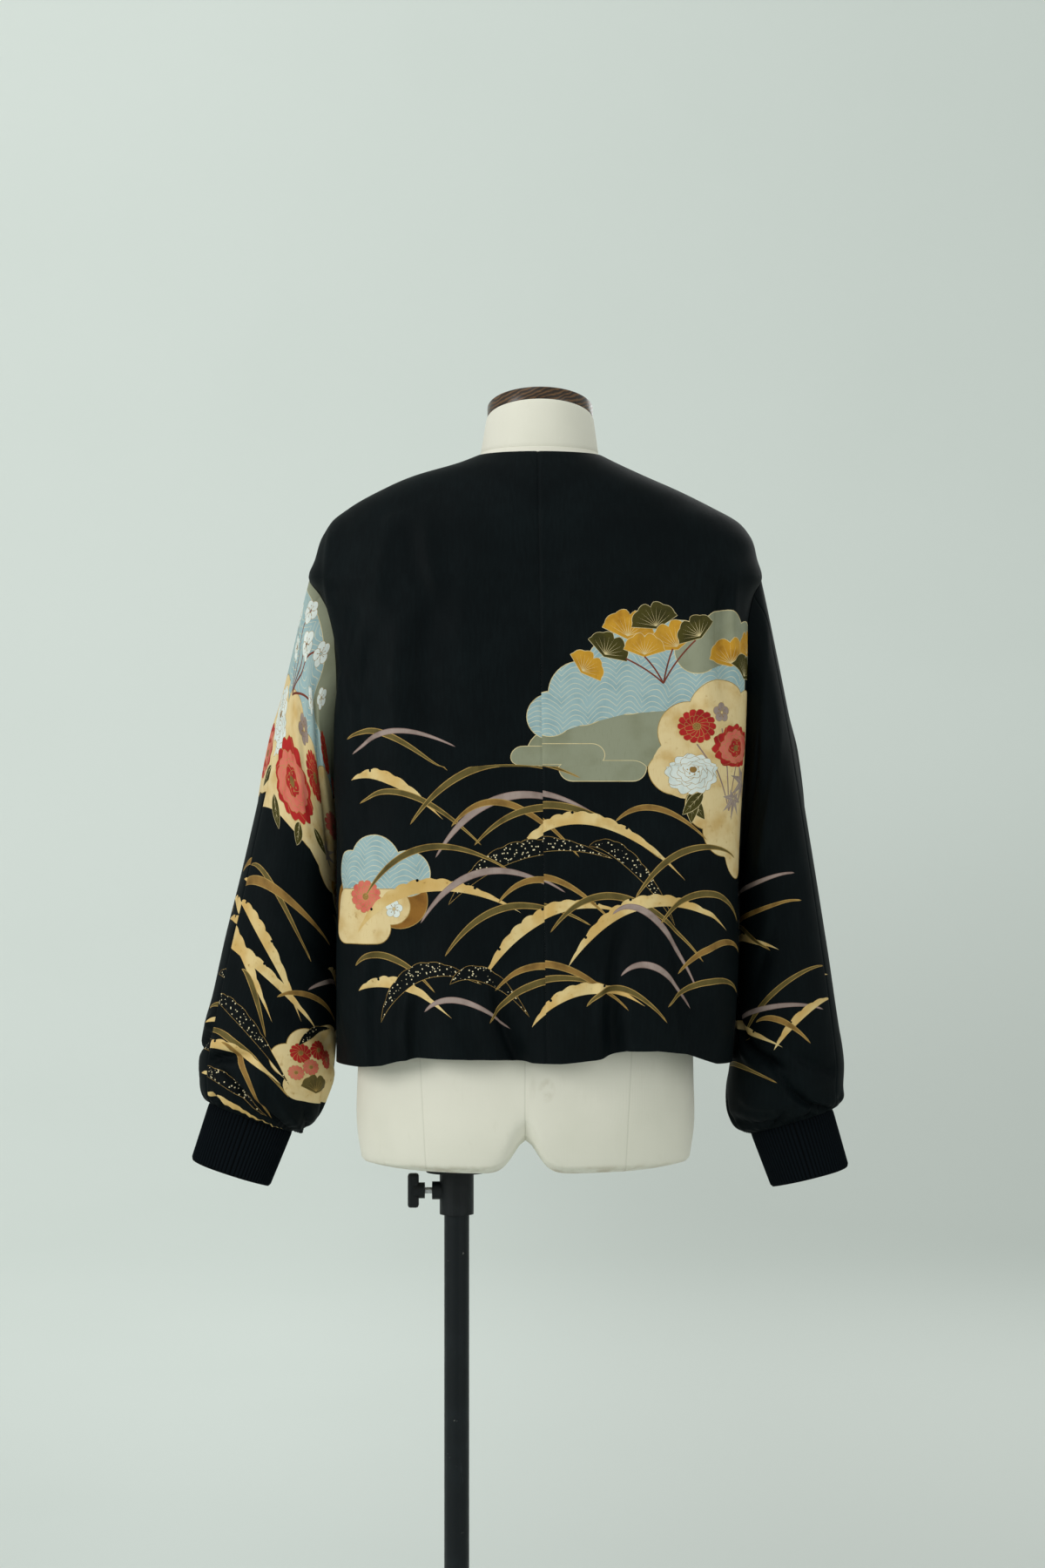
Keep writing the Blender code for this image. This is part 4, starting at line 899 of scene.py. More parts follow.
def left_sleeve_print():
    """A strip of mist and blossoms down to the elbow, then grass to the cuff."""
    shapes = []
    shapes += mist((0, 0), [(-96, 250, -8, 62), (-70, 250, -38, 40)], "sage")
    shapes += mist((0, 0), [(-110, 78, -34, 44), (-96, 150, -72, 52)], "water_blue")
    shapes += cloud((0, 0), [(-96, -140, 34), (-66, -176, 34), (-20, -170, 33), (30, -152, 34),
                             (78, -156, 32),
                             (124, -188, 32), (160, -214, 34), (206, -226, 34)], "cream_paper",
                             "gold_line")
    shapes += cloud((0, 0), [(-90, -112, 26), (-48, -104, 24), (-8, -112, 25), (36, -98, 25),
                             (80, -104, 26),
                             (126, -92, 25), (170, -100, 27), (214, -92, 25)], "cream_paper",
                             "gold_line")
    shapes += mist((0, 0), [(-118, 250, -122, 50), (-112, 250, -146, 60), (96, 250, -178, 50),
                            (150, 250, -210, 50), (-94, 0, -172, 50)], "cream_paper",
                            "cream_paper")
    shapes += stems((20, -84), [(-20, -40), (4, -16), (30, -30), (52, -14), (66, -52)],
                    "red_brown", 1.8)
    for x, z, r in ((-22, -38, 11), (4, -18, 12), (30, -32, 12), (54, -16, 11), (66, -50, 10),
                    (-2, -58, 10), (-50, -26, 11), (92, -24, 9)):
        shapes += plum((x, z), r, "white_petal", x * 0.1)
    shapes += daisy((122, -50), 17, 12, "red_petal", "ochre_leaf", 2, 0.95)
    shapes += daisy((160, -62), 15, 12, "coral_petal", "ochre_leaf", 1, 0.95)
    shapes += daisy((88, -104), 22, 16, "red_petal", "ochre_leaf", 2, 0.9, 0.2)
    shapes += daisy((140, -126), 22, 14, "coral_petal", "ochre_leaf", 2, 0.9)
    shapes += plum((56, -86), 12, "mauve_leaf")
    shapes += full_bloom((-6, -122), 28, ["white_petal"], 11, 0.95)
    shapes += full_bloom((46, -144), 36, ["red_petal", "coral_petal", "coral_petal"], 7, 0.95,
                         0.3)
    shapes += full_bloom((-38, -166), 30, ["red_petal", "coral_petal"], 13, 0.95)
    shapes += full_bloom((-86, -136), 26, ["white_petal"], 19, 0.95)
    for x, z, length, width, turn in ((0, -170, 28, 12, -2.0), (20, -174, 30, 12, -1.0),
                                      (84, -160, 30, 12, -0.6), (62, -172, 26, 11, -1.6)):
        shapes += leaf((x, z), length, width, turn)
    shapes += maple((112, -172), 24, "mauve_leaf", 0.4, "cream_line")
    shapes += maple((182, -160), 24, "mauve_leaf", -1.2, "cream_line")
    shapes += fan_leaf((140, -206), 17, "ochre_gold", -1.9)
    shapes += daisy((160, -228), 17, 12, "red_petal", "ochre_leaf", 1, 0.95)
    shapes += full_bloom((164, -190), 22, ["coral_petal", "red_petal"], 17, 0.95)
    shapes += cloud((118, -440), [(-30, 0, 19), (-12, 20, 22), (16, 28, 24), (42, 24, 22)],
                    "cream_paper", "gold_line")
    shapes += mist((118, -440), [(-44, 84, -2, 40), (-32, 84, -28, 30)], "cream_paper",
                   "cream_paper")
    for x, z, r, dye in ((100, -428, 12, "red_petal"), (122, -420, 12, "red_petal"),
                         (114, -442, 10, "coral_petal"), (140, -430, 12, "red_petal"),
                         (98, -452, 9, "coral_petal")):
        shapes += daisy((x, z), r, 12, dye, "ochre_leaf", 1, 0.95)
    shapes += fan_leaf((124, -470), 19, "olive_leaf", 1.6, 7, "gold_line")
    return shapes + grass_print(LEFT_SLEEVE_BLADES)


def grass_print(blades):
    """Only grass: the right sleeve's, and the hidden front's, which is drawn plainly."""
    return [shape for blade in blades for shape in blade_shapes(blade)]


def on_piece(shapes, sign, shift_v):
    """A print's shapes in one piece's own flat cut, in metres."""
    return [Shape(s.points * [sign * MM, MM] - np.array([0, shift_v]), s.dye) for s in shapes]


def turn_of(points):
    """Twice the signed area of an outline, above 0 where it runs anticlockwise."""
    after = np.roll(points, -1, axis=0)
    return np.sum(points[:, 0] * after[:, 1] - after[:, 0] * points[:, 1])


def anticlockwise(points):
    return points if turn_of(points) > 0 else points[::-1]


def subdivided(points, step):
    """A closed outline with points added so that none are further apart than a step."""
    out = []
    for a, b in zip(points, np.roll(points, -1, axis=0)):
        count = max(1, int(math.ceil(np.linalg.norm(b - a) / step)))
        for i in range(count):
            out.append(a + (b - a) * i / count)
    return np.array(out)


PRINT_STEP = 3.6 * MM


def print_triangles(piece, shapes):
    """A piece's flat cut as triangles with the print's outlines cut in, and each one's dye."""
    rows, columns = piece.flat_u.shape
    flat = np.stack([piece.flat_u, np.repeat(piece.flat_v[:, None], columns, axis=1)], axis=2)
    points = [Vector(p) for p in flat.reshape(-1, 2)]
    at = np.arange(rows * columns).reshape(rows, columns)
    rim = np.concatenate([at[0], at[1:, -1], at[-1, -2::-1], at[-2:0:-1, 0]])
    faces = [rim.tolist()]
    widest, longest = piece.flat_u.max(), piece.flat_v[-1]
    dyes = ["silk_black"]
    for shape in shapes:
        low, high = shape.points.min(axis=0), shape.points.max(axis=0)
        if high[0] < 0 or low[0] > widest or high[1] < 0 or low[1] > longest:
            continue
        outline = subdivided(anticlockwise(shape.points), PRINT_STEP)
        first = len(points)
        points += [Vector(p) for p in outline]
        faces.append(list(range(first, len(points))))
        dyes.append(shape.dye)
    found, _, triangles, origin, _, inside = delaunay_2d_cdt(points, [], faces, 1, 1e-7, True)
    kept = [(t, dyes[max(names)]) for t, names in zip(triangles, inside) if 0 in names]
    return np.array([tuple(p) for p in found]), origin, kept


def on_surface(piece, flat):
    """Where points of the flat cut lie on the piece's shape, with their normals."""
    rows = len(piece.flat_v)
    row = np.clip(np.interp(flat[:, 1], piece.flat_v, np.arange(rows)), 0, rows - 1.001)
    low = row.astype(int)
    share = (row - low)[:, None]
    place, normal = np.zeros((len(flat), 3)), np.zeros((len(flat), 3))
    columns = np.arange(piece.flat_u.shape[1])
    for i, (u, r) in enumerate(zip(flat[:, 0], low)):
        for k, weight in ((r, 1 - share[i, 0]), (r + 1, share[i, 0])):
            c = min(np.interp(u, piece.flat_u[k], columns), columns[-1] - 0.001)
            j = int(c)
            here, beyond = 1 - c + j, c - j
            place[i] += weight * (here * piece.grid[k, j] + beyond * piece.grid[k, j + 1])
            normal[i] += weight * (here * piece.normal[k, j] + beyond * piece.normal[k, j + 1])
    return place, normal / np.linalg.norm(normal, axis=1, keepdims=True)


def silk_piece(piece, shapes):
    """A panel as a thin closed shell: the printed side out, the plain side in."""
    flat, origin, kept = print_triangles(piece, shapes)
    count, total = len(flat), piece.flat_u.size
    place, normal = np.zeros((count, 3)), np.zeros((count, 3))
    grid, grid_normal = piece.grid.reshape(-1, 3), piece.normal.reshape(-1, 3)
    own = np.array([min(names) if names and min(names) < total else -1 for names in origin])
    place[own >= 0], normal[own >= 0] = grid[own[own >= 0]], grid_normal[own[own >= 0]]
    place[own < 0], normal[own < 0] = on_surface(piece, flat[own < 0])
    used = sorted({i for t, _ in kept for i in t})
    number = np.full(count, -1)
    number[used] = np.arange(len(used))
    place, normal, flat = place[used], normal[used], flat[used]
    outer = number[np.array([t for t, _ in kept])]
    a, b, c = place[outer[:, 0]], place[outer[:, 1]], place[outer[:, 2]]
    if np.sum(np.cross(b - a, c - a) * normal[outer[:, 0]]) < 0:
        outer = outer[:, ::-1]
    inner = outer[:, ::-1] + len(used)
    sides = {}
    for t in outer:
        for i in range(3):
            sides[(t[i], t[(i + 1) % 3])] = True
    rim = [[b, a, a + len(used), b + len(used)] for a, b in sides if (b, a) not in sides]
    points = np.concatenate([place, place - normal * SILK_THICKNESS])
    faces = outer.tolist() + inner.tolist() + rim
    mesh = mesh_of(piece.name, points.tolist(), faces)
    names = sorted({dye for _, dye in kept})
    for dye in names:
        mesh.materials.append(DYES[dye])
    mesh.materials.append(DYES["silk_inside"])
    index = {dye: i for i, dye in enumerate(names)}
    picked = [index[dye] for _, dye in kept]
    mesh.polygons.foreach_set("material_index", picked + [len(names)] * (len(inner) + len(rim)))
    mesh.shade_smooth()
    layer = mesh.uv_layers.new(name="cut")
    ends = np.zeros(len(mesh.loops), dtype=np.int32)
    mesh.loops.foreach_get("vertex_index", ends)
    layer.data.foreach_set("uv", np.concatenate([flat, flat])[ends].ravel())
    both = np.concatenate([normal, -normal])
    split = both[ends]
    rim_loops = 3 * 2 * len(outer)
    for k, face in enumerate(rim):
        a, b = points[face[1]], points[face[0]]
        out = np.cross(normal[face[1]], b - a)
        split[rim_loops + 4 * k: rim_loops + 4 * k + 4] = -out / max(np.linalg.norm(out), 1e-12)
    mesh.normals_split_custom_set(split.tolist())
    thing = placed(piece.name, mesh)
    area = 0.5 * abs(np.cross(flat[outer[:, 1]] - flat[outer[:, 0]],
                              flat[outer[:, 2]] - flat[outer[:, 0]])).sum()
    return thing, area


class Field:
    """A node socket that can be written in sums, for patterns in materials."""

    def __init__(self, tree, socket):
        self.tree = tree
        self.socket = socket

    def made(self, operation, *others):
        node = self.tree.nodes.new("ShaderNodeMath")
        node.operation = operation
        for i, value in enumerate((self, *others)):
            if isinstance(value, Field):
                self.tree.links.new(value.socket, node.inputs[i])
            else:
                node.inputs[i].default_value = value
        return Field(self.tree, node.outputs[0])

    def __add__(self, other):
        return self.made("ADD", other)

    def __sub__(self, other):
        return self.made("SUBTRACT", other)

    def __mul__(self, other):
        return self.made("MULTIPLY", other)

    def __truediv__(self, other):
        return self.made("DIVIDE", other)

    def __pow__(self, other):
        return self.made("POWER", other)

    def sine(self):
        return self.made("SINE")

    def cosine(self):
        return self.made("COSINE")

    def size(self):
        return self.made("ABSOLUTE")

    def sign(self):
        return self.made("SIGN")

    def part(self):
        return self.made("FRACT")

    def floor(self):
        return self.made("FLOOR")

    def above(self, other):
        return self.made("GREATER_THAN", other)

    def below(self, other):
        return self.made("LESS_THAN", other)

    def soft(self, low, high):
        """Goes smoothly from 0 at low to 1 at high."""
        node = self.tree.nodes.new("ShaderNodeMapRange")
        node.interpolation_type = "SMOOTHSTEP"
        self.tree.links.new(self.socket, node.inputs[0])
        node.inputs[1].default_value = low
        node.inputs[2].default_value = high
        return Field(self.tree, node.outputs[0])


def linear(colour):
    """A screen colour of 0 to 255 as the shader's linear values."""
    shares = [c / 255 for c in colour]
    return tuple((c / 12.92 if c <= 0.04045 else ((c + 0.055) / 1.055) ** 2.4) for c in shares)


class Finish:
    """A material being made: its shader, its coordinates and the patterns on them."""

    def __init__(self, name, colour, roughness, metallic=0.0, specular=0.5,
                 coordinates="Object"):
        self.material = bpy.data.materials.new(name)
        self.material.use_nodes = True
        self.tree = self.material.node_tree
        self.shader = self.tree.nodes["Principled BSDF"]
        self.set("Base Color", (*linear(colour), 1))
        self.set("Roughness", roughness)
        self.set("Metallic", metallic)
        self.set("Specular IOR Level", specular)
        place = self.tree.nodes.new("ShaderNodeTexCoord")
        self.place = place.outputs[coordinates]
        self.height = None

    def set(self, socket, value):
        self.shader.inputs[socket].default_value = value

    def axes(self):
        """The coordinates' three values as fields."""
        node = self.tree.nodes.new("ShaderNodeSeparateXYZ")
        self.tree.links.new(self.place, node.inputs[0])
        return [Field(self.tree, node.outputs[i]) for i in range(3)]

    def noise(self, scale, detail=3.0, stretch=(1, 1, 1), roughness=0.5):
        """Noise of a scale per metre, which may be stretched."""
        where = self.tree.nodes.new("ShaderNodeMapping")
        where.inputs["Scale"].default_value = stretch
        self.tree.links.new(self.place, where.inputs["Vector"])
        node = self.tree.nodes.new("ShaderNodeTexNoise")
        node.inputs["Scale"].default_value = scale
        node.inputs["Detail"].default_value = detail
        node.inputs["Roughness"].default_value = roughness
        self.tree.links.new(where.outputs[0], node.inputs["Vector"])
        return Field(self.tree, node.outputs[0])

    def spots(self, scale):
        """Distance to scattered points, of a scale per metre."""
        node = self.tree.nodes.new("ShaderNodeTexVoronoi")
        node.inputs["Scale"].default_value = scale
        self.tree.links.new(self.place, node.inputs["Vector"])
        return Field(self.tree, node.outputs[0])

    def colour(self, amount, over):
        """Mixes another colour over the present one by a field."""
        node = self.tree.nodes.new("ShaderNodeMix")
        node.data_type = "RGBA"
        self.tree.links.new(amount.socket, node.inputs["Factor"])
        base = self.shader.inputs["Base Color"]
        if base.is_linked:
            self.tree.links.new(base.links[0].from_socket, node.inputs["A"])
        else:
            node.inputs["A"].default_value = base.default_value[:]
        node.inputs["B"].default_value = (*linear(over), 1)
        self.tree.links.new(node.outputs["Result"], base)

    def rough(self, field, low, high):
        node = self.tree.nodes.new("ShaderNodeMapRange")
        self.tree.links.new(field.socket, node.inputs[0])
        node.inputs[3].default_value = low
        node.inputs[4].default_value = high
        self.tree.links.new(node.outputs[0], self.shader.inputs["Roughness"])

    def bump(self, field, strength, depth):
        node = self.tree.nodes.new("ShaderNodeBump")
        node.inputs["Strength"].default_value = strength
        node.inputs["Distance"].default_value = depth
        self.tree.links.new(field.socket, node.inputs["Height"])
        if self.height is not None:
            self.tree.links.new(self.height, node.inputs["Normal"])
        self.height = node.outputs[0]
        self.tree.links.new(self.height, self.shader.inputs["Normal"])


def weave(finish, threads=2600, strength=0.5, depth=0.00012):
    """Silk's own surface: fine threads both ways, with slubs along the weft."""
    u, v, _ = finish.axes()
    warp = (u * (2 * math.pi * threads * 0.5)).sine()
    weft = (v * (2 * math.pi * threads * 0.38)).sine()
    crepe = finish.noise(1100, 2.0, (1.0, 0.6, 1.0))
    slub = finish.noise(160, 2.0, (0.16, 6.0, 1.0))
    finish.bump(warp * weft * 0.25 + crepe + slub * 0.6, strength, depth)


def silk(name, colour, lit, roughness=0.62):
    """Dyed silk: matt, with a soft bloom, its colour mottled towards a lighter lit colour as
    painted light.
    """
    finish = Finish(name, colour, roughness, specular=0.065, coordinates="UV")
    painted_light_patches = finish.noise(14, 4.0)
    threads = finish.noise(420, 2.0, (1.0, 0.12, 1.0))
    # Painted light: noise mixes the colour towards its lit colour, in patches and along the
    # threads.
    finish.colour((painted_light_patches * 0.7 + threads * 0.5).soft(0.42, 0.95), lit)
    finish.rough(finish.noise(30, 3.0), roughness - 0.06, roughness + 0.08)
    weave(finish)
    return finish


def dye(name, colour, shade, roughness=0.6, metallic=0.0, patch=60):
    """A printed colour in the silk, mottled towards its own darker shade."""
    finish = Finish(name, colour, roughness, metallic, 0.12, "UV")
    finish.colour(finish.noise(patch, 4.0).soft(0.4, 0.78), shade)
    finish.colour(finish.noise(900, 1.0, (1.0, 0.1, 1.0)).soft(0.55, 1.05), shade)
    weave(finish)
    return finish


def wave_lines(finish, colour, pitch=5.2 * MM, length=26 * MM, width=0.13):
    """Fine stacked lines that rise and fall in crests, each row half a wave on."""
    u, v, _ = finish.axes()
    drift = finish.noise(26, 2.0)
    crest = ((u / length + drift * 0.5) * math.pi).sine().size() * 9 * MM
    slow = (u * (2 * math.pi / (4.3 * length))).sine() * 4 * MM
    rows = ((v - crest + slow + drift * 10 * MM) / pitch).part()
    line = rows.below(width)
    broken = finish.noise(60, 2.0).soft(0.28, 0.4)
    finish.colour(line * broken, colour)


def make_dyes():
    """Every colour of the print, by name."""
    dyes = {}
    black = silk("silk_black", (6, 12, 14), (13, 21, 23))
    dyes["silk_black"] = black.material
    dyes["silk_inside"] = silk("silk_inside", (14, 19, 21), (20, 26, 28), 0.7).material
    water = dye("water_blue", (158, 184, 186), (142, 170, 174))
    wave_lines(water, (206, 206, 184))
    dyes["water_blue"] = water.material
    sage = dye("sage", (146, 149, 126), (128, 130, 104), patch=24)
    dyes["sage"] = sage.material
    cream = dye("cream_paper", (228, 205, 154), (206, 170, 106), patch=42)
    cream.colour(cream.noise(130, 5.0).soft(0.6, 0.8), (186, 146, 84))
    dyes["cream_paper"] = cream.material
    grass = dye("cream_gold", (226, 201, 143), (204, 168, 100), 0.5, 0.0, 55)
    grass.colour(grass.noise(26, 2.0).soft(0.4, 0.62) * 0.75, (208, 168, 96))
    grass.colour(grass.noise(220, 4.0).soft(0.62, 0.8), (172, 132, 70))
    dyes["cream_gold"] = grass.material
    dust = silk("gold_dust", (10, 14, 15), (14, 20, 21))
    grains = dust.spots(330).below(0.23)
    dust.colour(grains * dust.noise(90, 2.0).soft(0.3, 0.42), (232, 218, 178))
    dyes["gold_dust"] = dust.material
    for name, colour, shade, metallic in (
        ("gold_line", (184, 152, 88), (140, 108, 56), 0.35),
        ("cream_line", (222, 205, 158), (190, 166, 112), 0.0),
        ("mauve_line", (150, 126, 118), (120, 98, 92), 0.0),
        ("olive_leaf", (104, 90, 48), (76, 66, 34), 0.1),
        ("ochre_leaf", (150, 115, 60), (112, 84, 42), 0.1),
        ("mauve_leaf", (164, 146, 138), (134, 116, 108), 0.0),
        ("deep_olive", (72, 66, 24), (48, 46, 18), 0.0),
        ("ochre_gold", (204, 152, 48), (168, 116, 30), 0.0),
        ("red_petal", (182, 40, 38), (150, 26, 30), 0.0),
        ("coral_petal", (218, 118, 100), (204, 84, 74), 0.0),
        ("white_petal", (228, 234, 228), (202, 212, 206), 0.0),
        ("red_brown", (124, 62, 46), (90, 44, 34), 0.0),
        ("brown_gold", (148, 102, 42), (120, 78, 30), 0.0),
    ):
        dyes[name] = dye(name, colour, shade, 0.58, metallic).material
    return dyes


DYES = make_dyes()


def make_panels():
    """The four body panels and the four sleeve halves, with the print cut in."""
    prints = {"back": back_print(), "front": grass_print(FRONT_BLADES),
              1: left_sleeve_print(), -1: grass_print(RIGHT_SLEEVE_BLADES)}
    made = []
    low = BODY_LEVELS[0].height
    for side, hand in ((1, "left"), (-1, "right")):
        for face, word, creases in ((1, "back", BACK_CREASES), (-1, "front", FRONT_CREASES)):
            lines = body_lines(side, face)
            columns = round(line_reach(lines[0])[-1] / CLOTH_STEP)
            piece = lay_piece(f"{word}_panel_{hand}", lines, columns, creases)
            shapes = on_piece(prints[word], side, low * MM)
            made.append((piece, shapes, f"{word}_{hand}"))
        table = LEFT_SLEEVE if side > 0 else RIGHT_SLEEVE
        creases = LEFT_SLEEVE_CREASES if side > 0 else RIGHT_SLEEVE_CREASES
        for face, word in ((1, "back"), (-1, "front")):
            lines = sleeve_lines(side, table, face)
            columns = round(max(line_reach(line)[-1] for line in lines[::20]) / CLOTH_STEP)
            piece = lay_piece(f"sleeve_{word}_panel_{hand}", lines, columns, creases, True,
                              sleeve_across(face))
            turned_down = [Shape(s.points * [face * MM, -MM * SLEEVE_CUT_SHARE], s.dye)
                           for s in prints[side]]
            made.append((piece, turned_down, f"sleeve_{word}_{hand}"))
    things = []
    for piece, shapes, node in made:
        thing, area = silk_piece(piece, shapes)
        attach(thing, "form")
        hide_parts(node)
        wide, long = float(piece.flat_u.max()), float(piece.flat_v[-1])
        things.append((thing, wide, long, area, node))
        print(thing.name, len(thing.data.polygons), "faces,",
              round(wide, 3), "x", round(long, 3), "m, area", round(area, 4))
    return things


def node_tree(name, inputs):
    """An empty Geometry Nodes tree with named sizes as its inputs."""
    tree = bpy.data.node_groups.new(name, "GeometryNodeTree")
    tree.interface.new_socket("Geometry", in_out="INPUT", socket_type="NodeSocketGeometry")
    tree.interface.new_socket("Geometry", in_out="OUTPUT", socket_type="NodeSocketGeometry")
    for label, kind in inputs:
        tree.interface.new_socket(label, in_out="INPUT", socket_type=f"NodeSocket{kind}")
    start, end = tree.nodes.new("NodeGroupInput"), tree.nodes.new("NodeGroupOutput")
    sizes = {label: Field(tree, start.outputs[label]) for label, _ in inputs}
    return tree, start, end, sizes


def finish_tree(tree, geometry, material, end):
    """Ends a tree in Realize Instances and Set Material."""
    real = tree.nodes.new("GeometryNodeRealizeInstances")
    paint = tree.nodes.new("GeometryNodeSetMaterial")
    paint.inputs["Material"].default_value = material
    tree.links.new(geometry, real.inputs[0])
    tree.links.new(real.outputs[0], paint.inputs["Geometry"])
    tree.links.new(paint.outputs[0], end.inputs[0])


def from_tree(name, tree, values):
    """The plain mesh that a tree makes from its named sizes."""
    carrier = placed(name + "_maker", bpy.data.meshes.new(name))
    step = carrier.modifiers.new("shape", "NODES")
    step.node_group = tree
    sockets = {item.name: item.identifier for item in tree.interface.items_tree
               if item.in_out == "INPUT"}
    for label, value in values.items():
        step[sockets[label]] = value
    mesh = evaluated_mesh(carrier)
    mesh.name = name
    bpy.data.objects.remove(carrier)
    return placed(name, mesh)


def outwards(mesh, merge=None):
    """Turns a closed mesh's faces outwards, after merging doubles where a distance is given."""
    shell = bmesh.new()
    shell.from_mesh(mesh)
    if merge:
        bmesh.ops.remove_doubles(shell, verts=shell.verts, dist=merge)
    bmesh.ops.recalc_face_normals(shell, faces=shell.faces)
    shell.to_mesh(mesh)
    shell.free()
    mesh.shade_smooth()


CUFF_SIZES = [
    ("Ribs", "Float"), ("Rib height", "Float"), ("Wall", "Float"), ("Square", "Float"),
    ("Top outer", "Vector"), ("Top inner", "Vector"),
    ("Bottom outer", "Vector"), ("Bottom inner", "Vector"),
    ("Top depth", "Float"), ("Bottom depth", "Float"),
]
CUFF_POINTS_PER_RIB = 6
CUFF_ROWS = 44
CUFF_SEAM_INSET = 0.5 * MM
CUFF_EDGE_INSET = 0.9 * MM
CUFF_SLACK = 0.8 * MM
CUFF_WAVE = 0.9 * MM
CUFF_MERGE = 0.00001
RIB_HEIGHT = 0.7 * MM
RIB_WALL = 1.7 * MM


def split(tree, field):
    node = tree.nodes.new("ShaderNodeSeparateXYZ")
    tree.links.new(field.socket, node.inputs[0])
    return [Field(tree, node.outputs[i]) for i in range(3)]


def cuff_tree(knit):
    """A tube of rib knit, rounded at its lower edge, by the rule of its two ends."""
    tree, _, end, size = node_tree("ribbed cuff", CUFF_SIZES)
    grid = tree.nodes.new("GeometryNodeMeshGrid")
    grid.inputs["Vertices X"].default_value = RIBS * CUFF_POINTS_PER_RIB + 1
    grid.inputs["Vertices Y"].default_value = CUFF_ROWS + 1
    grid.inputs["Size X"].default_value = 1
    grid.inputs["Size Y"].default_value = 1
    place = tree.nodes.new("GeometryNodeInputPosition")
    x, y, _ = split(tree, Field(tree, place.outputs[0]))
    around, profile = x + 0.5, y + 0.5
    keep = tree.nodes.new("GeometryNodeStoreNamedAttribute")
    keep.data_type, keep.domain = "FLOAT2", "CORNER"
    keep.inputs["Name"].default_value = "cut"
    pair = tree.nodes.new("ShaderNodeCombineXYZ")
    tree.links.new(around.socket, pair.inputs[0])
    tree.links.new(profile.socket, pair.inputs[1])
    tree.links.new(pair.outputs[0], keep.inputs["Value"])
    tree.links.new(grid.outputs["Mesh"], keep.inputs["Geometry"])

    angle = around * (2 * math.pi)
    power = Field(tree, size["Square"].socket) ** -1.0 * 2.0
    c = angle.cosine().sign() * angle.cosine().size() ** power
    s = angle.sine().sign() * angle.sine().size() ** power
    down = (profile * -2 + 1).size() * -1 + 1
    inside = profile.soft(0.492, 0.508)
    rib = ((around * size["Ribs"] * math.pi).sine().size() ** 0.8 * -1 + 1) * size["Rib height"]
    edge = down.soft(0.955, 1.0) * CUFF_EDGE_INSET
    fold = (down * -1 + 1).soft(0.94, 1.0) * CUFF_SEAM_INSET
    outer_inset = rib + edge + fold
    inner_inset = size["Wall"] + size["Rib height"] - edge * 0.6
    inset = outer_inset * (inside * -1 + 1) + inner_inset * inside

    def between(top, bottom):
        tops, bottoms = split(tree, size[top]), split(tree, size[bottom])
        return [t * (down * -1 + 1) + b * down for t, b in zip(tops, bottoms)]

    far, near = between("Top outer", "Bottom outer"), between("Top inner", "Bottom inner")
    middle = [(f + n) * 0.5 for f, n in zip(far, near)]
    half = [(f - n) * 0.5 for f, n in zip(far, near)]
    reach = (half[0] * half[0] + half[2] * half[2]) ** 0.5
    shrink = (inset / reach) * -1 + 1
    depth = size["Top depth"] * (down * -1 + 1) + size["Bottom depth"] * down
    slack = (angle * 3 + 0.7).sine() * down * down * CUFF_SLACK
    wave = (angle * 2 + 1.1).cosine() * down * down * CUFF_WAVE
    out = tree.nodes.new("ShaderNodeCombineXYZ")
    for i, value in enumerate((middle[0] + half[0] * c * shrink,
                               middle[1] + (depth - inset + slack) * s,
                               middle[2] + half[2] * c * shrink + wave)):
        tree.links.new(value.socket, out.inputs[i])
    move = tree.nodes.new("GeometryNodeSetPosition")
    tree.links.new(keep.outputs[0], move.inputs["Geometry"])
    tree.links.new(out.outputs[0], move.inputs["Position"])
    finish_tree(tree, move.outputs[0], knit, end)
    return tree


def make_cuffs(knit):
    tree = cuff_tree(knit)
    things = []
    for side, hand, cuff in ((1, "left", LEFT_CUFF), (-1, "right", RIGHT_CUFF)):
        def corner(pair):
            return (side * pair[0] * MM, -CUFF_FORWARD, pair[1] * MM)
        thing = from_tree(f"ribbed_cuff_{hand}", tree, {
            "Ribs": float(RIBS), "Rib height": RIB_HEIGHT, "Wall": RIB_WALL,
            "Square": SLEEVE_SQUARE,
            "Top outer": corner(cuff.top_outer), "Top inner": corner(cuff.top_inner),
            "Bottom outer": corner(cuff.bottom_outer),
            "Bottom inner": corner(cuff.bottom_inner),
            "Top depth": CUFF_HALF_DEPTH_TOP, "Bottom depth": CUFF_HALF_DEPTH_BOTTOM,
        })
        outwards(thing.data, CUFF_MERGE)
        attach(thing, "form")
        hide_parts(f"cuff_{hand}")
        things.append(thing)
    return things


def knit_finish():
    """Black rib knit: columns of small loops along each rib, with a soft nap, streaks painted
    towards a lit colour as painted light, and painted shade in the valleys between the ribs.
    """
    finish = Finish("rib_knit", (9, 14, 18), 0.88, specular=0.06, coordinates="UV")
    u, v, _ = finish.axes()
    loops = (v * (2 * math.pi * 150) + (u * (math.pi * RIBS)).sine().size() * 2.2).sine()
    # Painted light: streaks along the ribs are mixed towards a lighter lit colour.
    finish.colour(finish.noise(40, 3.0, (20, 4, 1)).soft(0.35, 0.85), (18, 26, 32))
    # Painted shade: the valleys between the ribs are painted near black.
    painted_valley_shade = (u * (math.pi * RIBS)).sine().size().below(0.42)
    finish.colour(painted_valley_shade * 0.95, (1, 2, 3))
    finish.bump(loops * 0.5 + finish.noise(300, 2.0, (8, 2, 1)), 0.6, 0.0003)
    return finish.material


